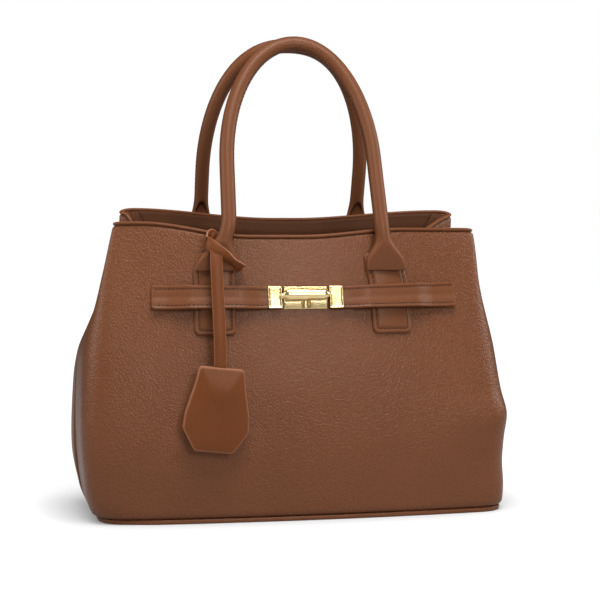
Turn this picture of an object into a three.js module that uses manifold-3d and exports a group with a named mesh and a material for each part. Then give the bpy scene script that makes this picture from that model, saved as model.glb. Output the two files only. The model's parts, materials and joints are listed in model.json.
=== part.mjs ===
// A structured leather tote bag. Its front and back panels wrap round to side seams that fold in at the top.
// It has two rolled handles on stitched tabs, a belt with a turn lock, and a bell charm on a strap.
// Millimetres, +Z up. The front faces -Y, and the base stands on Z = 0, centred on the origin.

import * as THREE from 'three';
import { mergeVertices } from 'three/addons/utils/BufferGeometryUtils.js';
import Module from 'manifold-3d';

// Fits
const GAP = 0.3; // between pieces that touch
const SKIN_GAP = 0.7; // between curved layers that lie on each other

// Leather, board and lining
const PANEL_THICKNESS = 2.2;
const BASE_THICKNESS = 3;
const BASE_LIP = 0.6; // how far the base's edge stands out under the panels
const BOARD_THICKNESS = 2.5;
const BOARD_ROOM = 1; // between the board's edge and the panels
const LINING_THICKNESS = 0.8;
const LINING_INSET = 2; // from a rounded corner to the edge of a lining
const SIDE_LINING_GAP = 3; // looser than on the walls, because of the fold
const FACING_THICKNESS = 1.6;
const FACING_HEIGHT = 40;

// Body: heights, then half sizes at the base, at its fullest height, which is the belly, and at the rim
const RIM_Z = 217; // of the front rim at its middle
const BACK_RIM_LIFT = 10; // of the back rim above the front one
const FRONT_RIM_RISE = 6; // from the middle of a rim to its corners
const BACK_RIM_RISE = 9;
const BELLY_Z = 70;
const PROFILE_LIFT = 5; // of the place where the body stops drawing in, above the front rim
const PROFILE_EASE = 0.15; // how much more gently the body draws in above the belly than at the rim
const BASE_HALF_WIDTH = 162;
const BELLY_SPREAD = 1; // how far each side stands out at the belly beyond the base
const FRONT_RIM_DRAW = 13; // how far each corner of a rim is drawn in from the base
const BACK_RIM_DRAW = 19;
const BASE_CORNER_DEPTH = 61;
const BELLY_SWELL = 4; // how far a corner stands forward at the belly beyond the base
const FRONT_RIM_CORNER_DEPTH = 30;
const BACK_RIM_CORNER_DEPTH = 22;
const BASE_BOW = 8; // how far the middle of a panel stands out beyond its corners
const FRONT_RIM_BOW = 22;
const BACK_RIM_BOW = 30;
const CORNER_ROUND = 16; // how far from a corner its rounding starts

// Sides, where the front and back panels meet at a seam
const SIDE_BASE_BOW = 2; // how far the seam stands out beyond the corners at the base
const SIDE_BOW = 7; // and at the fullest height
const FOLD_START_Z = 96;
const FOLD_DEPTH = 44; // how far the seam folds in at the rim
const SEAM_LIFT = 9; // of the seam's top above the front rim
const SEAM_GAP = 0.9; // between the edges of the two panels

// Rim bindings
const BINDING_HEIGHT = 3;
const BINDING_PROUD = 0.4;

// Handles
const HANDLE_RADIUS = 5.75;
const SHEATH_WALL = 1.85;
const HANDLE_RISE = 151; // of the top of a handle's middle line above the front rim
const HANDLE_TOP_GAP = 4.5; // between the two handles, where they lean together
const HANDLE_FOOT_X = 66;
const ARCH_HALF_WIDTH = 59;
const HANDLE_LEG_HEIGHT = 40; // of each straight leg, below the arch
const HINGE_RISE = 2.4; // of the line where a handle bends, above the rim binding
const CORE_OVERRUN = 4.4; // of the core past the end of its sheath

// Handle tabs and flared feet
const TAB_WIDTH = 30;
const TAB_THICKNESS = 3;
const TAB_DROP = 14; // from the front rim down to the tabs
const TAB_HEIGHT = 62;
const TAB_CORNER = 4;
const TAB_CORNER_HEIGHT = 6;
const FLARE_DROP = 10; // from the front rim down to the flared feet
const FLARE_HEIGHT = 17;
const FLARE_WIDTH = 30;
const FLARE_NECK_WIDTH = 11;
const FLARE_THICKNESS = 3;
const STUB_RISE = 1.2; // of a foot's round stub above the tab

// Belt
const BELT_DROP = 48; // from the front rim down to the middle of the belt
const BELT_REACH = 118; // from the middle of the bag to the belt's outer end
const BELT_HEIGHT = 17;
const BELT_END_HEIGHT = 19.6;
const BELT_THICKNESS = 2.2;
const BELT_RAMP = 8; // length over which the belt climbs on to a handle tab

// Turn lock
const LOCK_PLATE_WIDTH = 34;
const LOCK_PLATE_HEIGHT = 17;
const LOCK_PLATE_THICKNESS = 2;
const LOCK_CORNER = 1;
const END_PLATE_WIDTH = 10.4;
const END_PLATE_THICKNESS = 1.8;
const END_PLATE_FRAME = 2;
const END_PLATE_RECESS = 0.8;
const LOCK_SPACING = 1.4; // between the middle plate and each end plate
const POST_RADIUS = 3;
const POST_CLEARANCE = 0.4;
const POST_RAISE = 2; // of the post above the middle of the lock
const POST_GRIP = 3; // how far the post reaches into the toggle
const TOGGLE_LENGTH = 35;
const TOGGLE_HEIGHT = 8.4;
const TOGGLE_DEPTH = 6;
const TOGGLE_POINT = 5; // length of each tapered end
const BACKING_WIDTH = 26;
const BACKING_HEIGHT = 14;
const BACKING_THICKNESS = 1.2;

// Charm
const LOOP_THICKNESS = 1.5;
const LOOP_HEIGHT = 9;
const LOOP_ROOM = 1; // between the loop and the panel behind it
const LOOP_CLEARANCE = 0.5; // between the loop and the top of the flared foot
const STRAP_WIDTH = 9;
const STRAP_THICKNESS = 2;
const STRAP_LENGTH = 92;
const STRAP_TOP = 1; // of the strap above its swing axis
const CHARM_CLEARANCE = 3; // between the bell and the fullest part of the front panel
const BELL_HEIGHT = 66;
const BELL_TOP_WIDTH = 35;
const BELL_WIDTH = 51;
const BELL_FOOT_WIDTH = 31;
const BELL_SHOULDER = 52; // from the bell's top to its widest place
const BELL_WALL = 2.4;
const BELL_DROP = 4; // from the place where the strap bends to the bell's top
const TONGUE_LENGTH = 45;

// Number of flats on curved surfaces
const PANEL_COLUMNS = 24;
const PANEL_ROWS = 14;
const FACE_SHARE = 0.5; // of a panel's columns that lie on its face
const CORNER_SHARE = 0.75; // and up to the end of its rounded corners
const LINING_COLUMNS = 10;
const LINING_ROWS = 11;
const SIDE_LINING_COLUMNS = 8;
const SIDE_LINING_SHARE = 0.22; // of the columns of each panel, that a side lining covers
const RIM_ROWS = 3;
const PATCH_COLUMNS = 4;
const PATCH_ROWS = 7;
const BELT_COLUMNS = 24;
const ROUND_SIDES = 24;
const STRAP_END_SEGMENTS = 5;
const ARCH_POINTS = 9; // from a leg to the top of a handle
const HANDLE_STEPS = 28;
const HANDLE_CURVE_SEGMENTS = 4; // half the number of sides of a handle's section
const SLOPE_STEP = 0.004; // share of a surface over which its slope is measured
const LEAN_REACH = 1; // height over which the lean of a wall is measured at one place
const MERGE_DISTANCE = 1e-4;

// Finishes
const PEBBLED_LEATHER = { color: '#7d4c33', roughness: 0.6, metalness: 0 };
const SMOOTH_LEATHER = { color: '#83502f', roughness: 0.5, metalness: 0 };
const CHARM_LEATHER = { color: '#7a4520', roughness: 0.45, metalness: 0 };
const LINING_LEATHER = { color: '#4a2a18', roughness: 0.75, metalness: 0 };
const FIBRE_BOARD = { color: '#8a8178', roughness: 0.95, metalness: 0 };
const COTTON_ROPE = { color: '#d8d0c0', roughness: 0.9, metalness: 0 };
const GOLD_METAL = { color: '#d9b866', roughness: 0.2, metalness: 1 };

const wasm = await Module();
wasm.setup();

// Places that follow from these sizes
const PROFILE_TOP_Z = RIM_Z + PROFILE_LIFT;
const SEAM_RIM_Z = RIM_Z + SEAM_LIFT;
const HANDLE_TOP_Z = RIM_Z + HANDLE_RISE;
const TAB_TOP_Z = RIM_Z - TAB_DROP;
const TAB_BOTTOM_Z = TAB_TOP_Z - TAB_HEIGHT;
const FLARE_TOP_Z = RIM_Z - FLARE_DROP;
const FLARE_BOTTOM_Z = FLARE_TOP_Z - FLARE_HEIGHT;
const BELT_Z = RIM_Z - BELT_DROP;
const BELLY_HALF_WIDTH = BASE_HALF_WIDTH + BELLY_SPREAD;
const BELLY_CORNER_DEPTH = BASE_CORNER_DEPTH + BELLY_SWELL;
const CORE_RADIUS = HANDLE_RADIUS - SHEATH_WALL - SKIN_GAP;
const PANEL_BOTTOM_Z = BASE_THICKNESS + GAP;
const BASE_LINING_Z = PANEL_BOTTOM_Z + BOARD_THICKNESS + GAP;
const LINING_BOTTOM_Z = BASE_LINING_Z + LINING_THICKNESS + GAP;

// The two walls, with what differs between front and back
const FRONT = {
  name: 'front',
  side: -1,
  rimHalfWidth: BASE_HALF_WIDTH - FRONT_RIM_DRAW,
  rimCornerDepth: FRONT_RIM_CORNER_DEPTH,
  rimBow: FRONT_RIM_BOW,
  rimZ: RIM_Z,
  rimRise: FRONT_RIM_RISE,
  liningGap: SKIN_GAP + BACKING_THICKNESS + GAP,
};
const BACK = {
  name: 'back',
  side: 1,
  rimHalfWidth: BASE_HALF_WIDTH - BACK_RIM_DRAW,
  rimCornerDepth: BACK_RIM_CORNER_DEPTH,
  rimBow: BACK_RIM_BOW,
  rimZ: RIM_Z + BACK_RIM_LIFT,
  rimRise: BACK_RIM_RISE,
  liningGap: SKIN_GAP,
};

// Shape of the body

// A size that grows from the base to the belly and then draws in towards the rim.
function swell(z, base, belly, rim) {
  if (z < BELLY_Z) {
    const below = 1 - z / BELLY_Z;
    return belly + (base - belly) * below * below;
  }
  const above = THREE.MathUtils.clamp((z - BELLY_Z) / (PROFILE_TOP_Z - BELLY_Z), 0, 1);
  return belly + (rim - belly) * above * (1 - PROFILE_EASE * (1 - above));
}

function halfWidthAt(wall, z) {
  return swell(z, BASE_HALF_WIDTH, BELLY_HALF_WIDTH, wall.rimHalfWidth);
}

function cornerDepthAt(wall, z) {
  return swell(z, BASE_CORNER_DEPTH, BELLY_CORNER_DEPTH, wall.rimCornerDepth);
}

// Distance of a wall's outer face from the middle of the bag.
function depthAt(wall, x, z) {
  const across = x / halfWidthAt(wall, z);
  const bow = swell(z, BASE_BOW, BASE_BOW, wall.rimBow);
  return cornerDepthAt(wall, z) + bow * (1 - across * across);
}

function wallPoint(wall, x, z) {
  return new THREE.Vector3(x, wall.side * depthAt(wall, x, z), z);
}

// How far a wall leans back at a place, as an angle.
function leanAt(wall, x, z, reach) {
  return Math.atan2(depthAt(wall, x, z - reach) - depthAt(wall, x, z + reach), 2 * reach);
}

function rimHeight(wall, x) {
  const across = x / wall.rimHalfWidth;
  return wall.rimZ + wall.rimRise * across * across;
}

// The side seam at a height, as the front or the back panel's edge: distance from the middle, and depth.
function seamAt(wall, z) {
  const fold = THREE.MathUtils.smoothstep(z, FOLD_START_Z, PROFILE_TOP_Z);
  const width = (halfWidthAt(FRONT, z) + halfWidthAt(BACK, z)) / 2;
  const middle = wall.side * (cornerDepthAt(BACK, z) - cornerDepthAt(FRONT, z)) / 2;
  const bow = swell(z, SIDE_BASE_BOW, SIDE_BOW, SIDE_BOW) * (1 - fold);
  return new THREE.Vector2(width + bow - FOLD_DEPTH * fold, middle + SEAM_GAP / 2);
}

// A point on a panel's outer face. along runs from -1 at the left seam over 0 to 1 at the right seam.
function panelPoint(wall, along, z, inset) {
  const side = Math.sign(along);
  const share = Math.abs(along);
  const corner = new THREE.Vector2(halfWidthAt(wall, z) - inset, cornerDepthAt(wall, z) - inset);
  const faceEnd = corner.x - CORNER_ROUND;
  const faceShare = Math.min(share / FACE_SHARE, 1);
  const place = new THREE.Vector2(faceEnd * faceShare, depthAt(wall, faceEnd * faceShare, z) - inset);
  if (share > FACE_SHARE) {
    const seam = seamAt(wall, z);
    seam.x -= inset;
    const leg = seam.clone().sub(corner);
    const legStart = corner.clone().addScaledVector(leg, CORNER_ROUND / leg.length());
    const turn = Math.min((share - FACE_SHARE) / (CORNER_SHARE - FACE_SHARE), 1);
    const legShare = Math.max((share - CORNER_SHARE) / (1 - CORNER_SHARE), 0);
    new THREE.QuadraticBezierCurve(place.clone(), corner, legStart).getPoint(turn, place);
    place.lerp(seam, legShare);
  }
  return new THREE.Vector3(side * place.x, wall.side * place.y, z);
}

function panelRim(wall, along) {
  const share = Math.abs(along);
  const faceEnd = wall.rimHalfWidth - CORNER_ROUND;
  const x = faceEnd * Math.min(share / FACE_SHARE, 1);
  const beyond = Math.max((share - FACE_SHARE) / (1 - FACE_SHARE), 0);
  return THREE.MathUtils.lerp(rimHeight(wall, x), SEAM_RIM_Z, beyond);
}

// Builders of solids

function normalAt(surface, u, v) {
  const right = surface(Math.min(u + SLOPE_STEP, 1), v);
  const left = surface(Math.max(u - SLOPE_STEP, 0), v);
  const up = surface(u, Math.min(v + SLOPE_STEP, 1));
  const down = surface(u, Math.max(v - SLOPE_STEP, 0));
  return right.sub(left).cross(up.sub(down)).normalize();
}

// A layer that lies on a surface, from the lift inner to the lift outer along its normals.
// u runs across and v up, and the surface's normal points out of the bag.
function layer(surface, inner, outer, columns, rows) {
  const geometry = new THREE.BoxGeometry(1, 1, 1, columns, rows, 1);
  const corners = geometry.attributes.position;
  for (let i = 0; i < corners.count; i += 1) {
    const u = corners.getX(i) + 0.5;
    const v = corners.getY(i) + 0.5;
    const lift = corners.getZ(i) > 0 ? outer(u, v) : inner(u, v);
    const place = surface(u, v).addScaledVector(normalAt(surface, u, v), lift);
    corners.setXYZ(i, place.x, place.y, place.z);
  }
  geometry.computeVertexNormals();
  return geometry;
}

function sheet(surface, inner, outer, columns, rows) {
  return layer(surface, () => inner, () => outer, columns, rows);
}

function solidOf(geometry) {
  const bare = geometry.clone();
  bare.deleteAttribute('normal');
  bare.deleteAttribute('uv');
  const merged = mergeVertices(bare, MERGE_DISTANCE);
  const vertProperties = new Float32Array(merged.attributes.position.array);
  const triVerts = new Uint32Array(merged.index.array);
  return new wasm.Manifold(new wasm.Mesh({ numProp: 3, vertProperties, triVerts }));
}

function geometryOf(solid) {
  const mesh = solid.getMesh();
  const geometry = new THREE.BufferGeometry();
  geometry.setAttribute('position', new THREE.BufferAttribute(mesh.vertProperties, 3));
  geometry.setIndex(new THREE.BufferAttribute(mesh.triVerts, 1));
  geometry.computeVertexNormals();
  return geometry;
}

function cut(geometry, tool) {
  return geometryOf(solidOf(geometry).subtract(solidOf(tool)));
}

function join(geometry, other) {
  return geometryOf(solidOf(geometry).add(solidOf(other)));
}

function addPiece(group, name, geometry, finish) {
  const mesh = new THREE.Mesh(geometry, new THREE.MeshStandardMaterial(finish));
  mesh.name = name;
  group.add(mesh);
}

// A flat plate on the front of the bag, seen from the front, from the offset outwards.
function frontPlate(shape, offset, thickness) {
  const flats = { depth: thickness, bevelEnabled: false, curveSegments: ROUND_SIDES / 2 };
  const geometry = new THREE.ExtrudeGeometry(shape, flats);
  geometry.rotateX(Math.PI / 2);
  geometry.translate(0, -offset, 0);
  return geometry;
}

function chamferedRectangle(width, height, corner) {
  const x = width / 2;
  const y = height / 2;
  const shape = new THREE.Shape();
  shape.moveTo(-x + corner, -y);
  shape.lineTo(x - corner, -y);
  shape.lineTo(x, -y + corner);
  shape.lineTo(x, y - corner);
  shape.lineTo(x - corner, y);
  shape.lineTo(-x + corner, y);
  shape.lineTo(-x, y - corner);
  shape.lineTo(-x, -y + corner);
  shape.closePath();
  return shape;
}

function roundHole(x, y, radius) {
  return new THREE.Path().absarc(x, y, radius, 0, Math.PI * 2, true);
}

// Panels, linings, facings and bindings

// Across a wall in the direction that keeps its normals pointing out, from -1 to 1.
function acrossOf(wall, u) {
  return -wall.side * (2 * u - 1);
}

function addWall(group, wall) {
  const panelBed = (u, v) => {
    const along = acrossOf(wall, u);
    return panelPoint(wall, along, THREE.MathUtils.lerp(PANEL_BOTTOM_Z, panelRim(wall, along), v), 0);
  };
  const panel = sheet(panelBed, -PANEL_THICKNESS, 0, PANEL_COLUMNS, PANEL_ROWS);

  const faceEdge = (z) => halfWidthAt(wall, z) - CORNER_ROUND - LINING_INSET;
  const facingFoot = (across) => rimHeight(wall, across * faceEdge(PROFILE_TOP_Z)) - FACING_HEIGHT;
  const liningBed = (u, v) => {
    const across = acrossOf(wall, u);
    const z = THREE.MathUtils.lerp(LINING_BOTTOM_Z, facingFoot(across) - GAP, v);
    return wallPoint(wall, across * faceEdge(z), z);
  };
  const liningOuter = -PANEL_THICKNESS - wall.liningGap;
  const lining = sheet(liningBed, liningOuter - LINING_THICKNESS, liningOuter, LINING_COLUMNS, LINING_ROWS);

  const facingBed = (u, v) => {
    const across = acrossOf(wall, u);
    const z = facingFoot(across) + FACING_HEIGHT * v;
    return wallPoint(wall, across * faceEdge(z), z);
  };
  const facingOuter = -PANEL_THICKNESS - SKIN_GAP;
  const facing = sheet(facingBed, facingOuter - FACING_THICKNESS, facingOuter, LINING_COLUMNS, RIM_ROWS);

  const bindingBed = (u, v) => {
    const along = acrossOf(wall, u);
    return panelPoint(wall, along, panelRim(wall, along) + SKIN_GAP + BINDING_HEIGHT * v, 0);
  };
  const bindingIn = -PANEL_THICKNESS - BINDING_PROUD;
  const binding = sheet(bindingBed, bindingIn, BINDING_PROUD, PANEL_COLUMNS, 1);

  addPiece(group, `${wall.name}_panel`, wall === FRONT ? cut(panel, lockBore()) : panel, PEBBLED_LEATHER);
  addPiece(group, `${wall.name}_lining`, lining, LINING_LEATHER);
  addPiece(group, `${wall.name}_facing`, facing, SMOOTH_LEATHER);
  addPiece(group, `${wall.name}_rim_binding`, binding, SMOOTH_LEATHER);
}

// The lining of a side lies on the wings of both panels, from corner to corner.
function addSideLining(group, side) {
  const bed = (u, v) => {
    const rearward = side * (2 * u - 1);
    const wall = rearward < 0 ? FRONT : BACK;
    const along = side * (1 - SIDE_LINING_SHARE * Math.abs(rearward));
    const z = THREE.MathUtils.lerp(LINING_BOTTOM_Z, panelRim(wall, along) - GAP, v);
    return panelPoint(wall, along, z, 0);
  };
  const outer = -PANEL_THICKNESS - SIDE_LINING_GAP;
  const lining = sheet(bed, outer - LINING_THICKNESS, outer, SIDE_LINING_COLUMNS, LINING_ROWS);
  addPiece(group, `${side < 0 ? 'left' : 'right'}_lining`, lining, LINING_LEATHER);
}

// A flat floor layer with the outline of the body at the base, drawn in by the inset.
function floorLayer(inset, bottom, thickness) {
  const outline = [];
  for (const wall of [FRONT, BACK]) {
    for (let i = 0; i < PANEL_COLUMNS; i += 1) {
      const point = panelPoint(wall, acrossOf(wall, i / PANEL_COLUMNS), 0, inset);
      outline.push(new THREE.Vector2(point.x, point.y));
    }
  }
  const flats = { depth: thickness, bevelEnabled: false };
  const floor = new THREE.ExtrudeGeometry(new THREE.Shape(outline), flats);
  floor.translate(0, 0, bottom);
  return floor;
}

function addBase(group) {
  const inset = PANEL_THICKNESS + BOARD_ROOM;
  addPiece(group, 'base_panel', floorLayer(-BASE_LIP, 0, BASE_THICKNESS), SMOOTH_LEATHER);
  const board = floorLayer(inset, PANEL_BOTTOM_Z, BOARD_THICKNESS);
  addPiece(group, 'base_board', board, FIBRE_BOARD);
  const lining = floorLayer(inset, BASE_LINING_Z, LINING_THICKNESS);
  addPiece(group, 'base_lining', lining, LINING_LEATHER);
}

// Handles, feet and tabs

// The line where a handle bends: its height, its distance from the middle, and the handle's lean.
function handleHinge(wall) {
  const z = rimHeight(wall, HANDLE_FOOT_X) + SKIN_GAP + BINDING_HEIGHT + HINGE_RISE;
  const behind = depthAt(wall, HANDLE_FOOT_X, FLARE_TOP_Z) + LOOP_ROOM + LOOP_THICKNESS + GAP;
  const depth = behind + HANDLE_RADIUS;
  const topDepth = HANDLE_TOP_GAP / 2 + HANDLE_RADIUS;
  const lean = Math.atan2(depth - topDepth, HANDLE_TOP_Z - z);
  return { z, depth, lean, height: (HANDLE_TOP_Z - z) / Math.cos(lean) };
}

// How far the neck of a flared foot stands out from its wall.
function footNeck(wall) {
  return handleHinge(wall).depth + HANDLE_RADIUS / 2 - depthAt(wall, HANDLE_FOOT_X, FLARE_TOP_Z);
}

// The middle line of a handle in its own plane: two legs and half an ellipse.
function handlePath(height, overrun) {
  const legSlope = (HANDLE_FOOT_X - ARCH_HALF_WIDTH) / HANDLE_LEG_HEIGHT;
  const foot = new THREE.Vector3(HANDLE_FOOT_X + overrun * legSlope, 0, -overrun);
  const legTop = new THREE.Vector3(ARCH_HALF_WIDTH, 0, HANDLE_LEG_HEIGHT);
  const points = [foot, foot.clone().lerp(legTop, 0.5)];
  const archHeight = height - HANDLE_LEG_HEIGHT;
  for (let i = 0; i < ARCH_POINTS; i += 1) {
    const turn = (Math.PI / 2) * (i / (ARCH_POINTS - 1));
    const x = ARCH_HALF_WIDTH * Math.cos(turn);
    points.push(new THREE.Vector3(x, 0, HANDLE_LEG_HEIGHT + archHeight * Math.sin(turn)));
  }
  const other = points.slice(0, -1).reverse();
  const mirrored = other.map((point) => new THREE.Vector3(-point.x, 0, point.z));
  return new THREE.CatmullRomCurve3([...points, ...mirrored]);
}

function addHandle(bag, wall) {
  const hinge = handleHinge(wall);
  const handle = new THREE.Group();
  handle.position.set(0, wall.side * hinge.depth, hinge.z);
  handle.rotation.x = wall.side * hinge.lean;
  bag.add(handle);

  const ring = new THREE.Shape().absarc(0, 0, HANDLE_RADIUS, 0, Math.PI * 2);
  ring.holes.push(roundHole(0, 0, HANDLE_RADIUS - SHEATH_WALL));
  const rope = new THREE.Shape().absarc(0, 0, CORE_RADIUS, 0, Math.PI * 2);
  const flats = { steps: HANDLE_STEPS, curveSegments: HANDLE_CURVE_SEGMENTS };
  const sheathPath = handlePath(hinge.height, 0);
  const corePath = handlePath(hinge.height, CORE_OVERRUN);
  const sheath = new THREE.ExtrudeGeometry(ring, { ...flats, extrudePath: sheathPath });
  const core = new THREE.ExtrudeGeometry(rope, { ...flats, extrudePath: corePath });
  addPiece(handle, `${wall.name}_handle_sheath`, sheath, SMOOTH_LEATHER);
  addPiece(handle, `${wall.name}_handle_core`, core, COTTON_ROPE);
}

// A patch of leather on a wall, whose half width changes from its foot to its top.
function patchSurface(wall, centreX, halfWidth, bottom, top) {
  return (u, v) => {
    const x = centreX - wall.side * (2 * u - 1) * halfWidth(v);
    return wallPoint(wall, x, THREE.MathUtils.lerp(bottom, top, v));
  };
}

function addHandleFoot(group, wall, side) {
  const centreX = side * HANDLE_FOOT_X;
  const hinge = handleHinge(wall);
  const name = `${wall.name}_${side < 0 ? 'left' : 'right'}_handle`;

  const cornerShare = (v) => Math.max(1 - (TAB_HEIGHT * Math.min(v, 1 - v)) / TAB_CORNER_HEIGHT, 0);
  const tabHalf = (v) => TAB_WIDTH / 2 - TAB_CORNER * cornerShare(v);
  const tabBed = patchSurface(wall, centreX, tabHalf, TAB_BOTTOM_Z, TAB_TOP_Z);
  const tab = sheet(tabBed, SKIN_GAP, SKIN_GAP + TAB_THICKNESS, PATCH_COLUMNS, PATCH_ROWS);

  const flareHalf = (v) => THREE.MathUtils.lerp(FLARE_WIDTH, FLARE_NECK_WIDTH, v) / 2;
  const flareBed = patchSurface(wall, centreX, flareHalf, FLARE_BOTTOM_Z, FLARE_TOP_Z);
  const flareIn = SKIN_GAP + TAB_THICKNESS + SKIN_GAP;
  const flareOut = (u, v) => THREE.MathUtils.lerp(flareIn + FLARE_THICKNESS, footNeck(wall), v);
  const flare = layer(flareBed, () => flareIn, flareOut, PATCH_COLUMNS, PATCH_ROWS);

  const stubFoot = TAB_TOP_Z + STUB_RISE;
  const stubLength = hinge.z - stubFoot;
  const stub = new THREE.CylinderGeometry(HANDLE_RADIUS, HANDLE_RADIUS, stubLength, ROUND_SIDES / 2);
  stub.rotateX(Math.PI / 2);
  stub.translate(centreX, wall.side * hinge.depth, stubFoot + stubLength / 2);

  const cupRadius = HANDLE_RADIUS + GAP;
  const cup = new THREE.CylinderGeometry(cupRadius, cupRadius, 4 * HANDLE_RADIUS, ROUND_SIDES);
  cup.rotateZ(Math.PI / 2);
  cup.translate(centreX, wall.side * hinge.depth, hinge.z);

  addPiece(group, `${name}_tab`, tab, SMOOTH_LEATHER);
  addPiece(group, `${name}_foot`, cut(join(flare, stub), cup), SMOOTH_LEATHER);
}

// Belt

function beltLift(x) {
  const past = Math.abs(Math.abs(x) - HANDLE_FOOT_X) - TAB_WIDTH / 2 - GAP;
  const climb = 1 - THREE.MathUtils.clamp(past / BELT_RAMP, 0, 1);
  return SKIN_GAP + climb * (TAB_THICKNESS + GAP);
}

function addBelt(group, side) {
  const innerEnd = LOCK_PLATE_WIDTH / 2 + LOCK_SPACING;
  const beltX = (u) => side * THREE.MathUtils.lerp(innerEnd, BELT_REACH, side > 0 ? u : 1 - u);
  const bed = (u, v) => {
    const x = beltX(u);
    const outward = (Math.abs(x) - innerEnd) / (BELT_REACH - innerEnd);
    const height = THREE.MathUtils.lerp(BELT_HEIGHT, BELT_END_HEIGHT, outward);
    return wallPoint(FRONT, x, BELT_Z + (v - 0.5) * height);
  };
  const inner = (u) => beltLift(beltX(u));
  const outer = (u) => beltLift(beltX(u)) + BELT_THICKNESS;
  const belt = layer(bed, inner, outer, BELT_COLUMNS, 2);
  addPiece(group, `belt_${side < 0 ? 'left' : 'right'}`, belt, SMOOTH_LEATHER);
}

// Turn lock, in a frame on the front panel: -Y points out of the panel and Z up along it

function lockFrame() {
  const frame = new THREE.Group();
  frame.position.copy(wallPoint(FRONT, 0, BELT_Z));
  frame.rotation.x = -leanAt(FRONT, 0, BELT_Z, LOCK_PLATE_HEIGHT / 2);
  frame.updateMatrix();
  return frame;
}

// The hole for the lock's post, as a solid to cut from the front panel.
function lockBore() {
  const radius = POST_RADIUS + POST_CLEARANCE;
  const bore = new THREE.CylinderGeometry(radius, radius, 4 * PANEL_THICKNESS, ROUND_SIDES);
  bore.translate(0, 0, POST_RAISE);
  bore.applyMatrix4(lockFrame().matrix);
  return bore;
}

function addLock(bag) {
  const lock = lockFrame();
  bag.add(lock);
  const holeRadius = POST_RADIUS + POST_CLEARANCE;

  const plateShape = chamferedRectangle(LOCK_PLATE_WIDTH, LOCK_PLATE_HEIGHT, LOCK_CORNER);
  plateShape.holes.push(roundHole(0, POST_RAISE, holeRadius));
  const plate = frontPlate(plateShape, SKIN_GAP, LOCK_PLATE_THICKNESS);
  addPiece(lock, 'lock_middle_plate', plate, GOLD_METAL);

  const endOffset = SKIN_GAP + BELT_THICKNESS + GAP;
  const endX = LOCK_PLATE_WIDTH / 2 + LOCK_SPACING + END_PLATE_WIDTH / 2;
  for (const side of [-1, 1]) {
    const shape = chamferedRectangle(END_PLATE_WIDTH, LOCK_PLATE_HEIGHT, LOCK_CORNER);
    const recessWidth = END_PLATE_WIDTH - 2 * END_PLATE_FRAME;
    const recessHeight = LOCK_PLATE_HEIGHT - 2 * END_PLATE_FRAME;
    const recessShape = chamferedRectangle(recessWidth, recessHeight, LOCK_CORNER);
    const recessOffset = endOffset + END_PLATE_THICKNESS - END_PLATE_RECESS;
    const recess = frontPlate(recessShape, recessOffset, 2 * END_PLATE_RECESS);
    const framed = cut(frontPlate(shape, endOffset, END_PLATE_THICKNESS), recess);
    framed.translate(side * endX, 0, 0);
    addPiece(lock, `lock_${side < 0 ? 'left' : 'right'}_plate`, framed, GOLD_METAL);
  }

  const toggleBack = SKIN_GAP + LOCK_PLATE_THICKNESS + 2 * GAP;
  const outline = new THREE.Shape();
  const reach = TOGGLE_LENGTH / 2;
  const rise = TOGGLE_HEIGHT / 2;
  outline.moveTo(-reach, 0);
  outline.lineTo(TOGGLE_POINT - reach, -rise);
  outline.lineTo(reach - TOGGLE_POINT, -rise);
  outline.lineTo(reach, 0);
  outline.lineTo(reach - TOGGLE_POINT, rise);
  outline.lineTo(TOGGLE_POINT - reach, rise);
  outline.closePath();
  const bar = frontPlate(outline, toggleBack, TOGGLE_DEPTH);
  const socketDepth = POST_GRIP + GAP;
  const socket = new THREE.CylinderGeometry(holeRadius, holeRadius, 2 * socketDepth, ROUND_SIDES);
  socket.translate(0, -toggleBack, 0);
  const toggle = cut(bar, socket);
  toggle.translate(0, 0, POST_RAISE);
  addPiece(lock, 'lock_toggle', toggle, GOLD_METAL);

  const backingFace = PANEL_THICKNESS + SKIN_GAP;
  const backingShape = chamferedRectangle(BACKING_WIDTH, BACKING_HEIGHT, LOCK_CORNER);
  backingShape.holes.push(roundHole(0, POST_RAISE, holeRadius));
  const backing = frontPlate(backingShape, -backingFace - BACKING_THICKNESS, BACKING_THICKNESS);
  addPiece(lock, 'lock_backing_plate', backing, GOLD_METAL);

  const postInner = backingFace + BACKING_THICKNESS;
  const postLength = postInner + toggleBack + POST_GRIP;
  const post = new THREE.CylinderGeometry(POST_RADIUS, POST_RADIUS, postLength, ROUND_SIDES);
  post.translate(0, postInner - postLength / 2, POST_RAISE);
  addPiece(lock, 'lock_post', post, GOLD_METAL);
}

// Charm

// A flat strap seen from its side: thickness along Y, from the top down, extruded across X.
function strapSolid(top, bottom, roundTop) {
  const half = STRAP_THICKNESS / 2;
  const side = new THREE.Shape();
  side.moveTo(half, bottom);
  side.lineTo(half, top);
  if (roundTop) {
    side.absarc(0, top, half, 0, Math.PI);
  } else {
    side.lineTo(-half, top);
  }
  side.lineTo(-half, bottom);
  side.closePath();
  const flats = { depth: STRAP_WIDTH, bevelEnabled: false, curveSegments: STRAP_END_SEGMENTS };
  const strap = new THREE.ExtrudeGeometry(side, flats);
  strap.rotateY(Math.PI / 2);
  strap.rotateX(Math.PI / 2);
  strap.translate(-STRAP_WIDTH / 2, 0, 0);
  return strap;
}

function bellShape() {
  const shape = new THREE.Shape();
  shape.moveTo(-BELL_TOP_WIDTH / 2, 0);
  shape.lineTo(-BELL_WIDTH / 2, -BELL_SHOULDER);
  shape.lineTo(-BELL_FOOT_WIDTH / 2, -BELL_HEIGHT);
  shape.lineTo(BELL_FOOT_WIDTH / 2, -BELL_HEIGHT);
  shape.lineTo(BELL_WIDTH / 2, -BELL_SHOULDER);
  shape.lineTo(BELL_TOP_WIDTH / 2, 0);
  shape.closePath();
  return shape;
}

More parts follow.
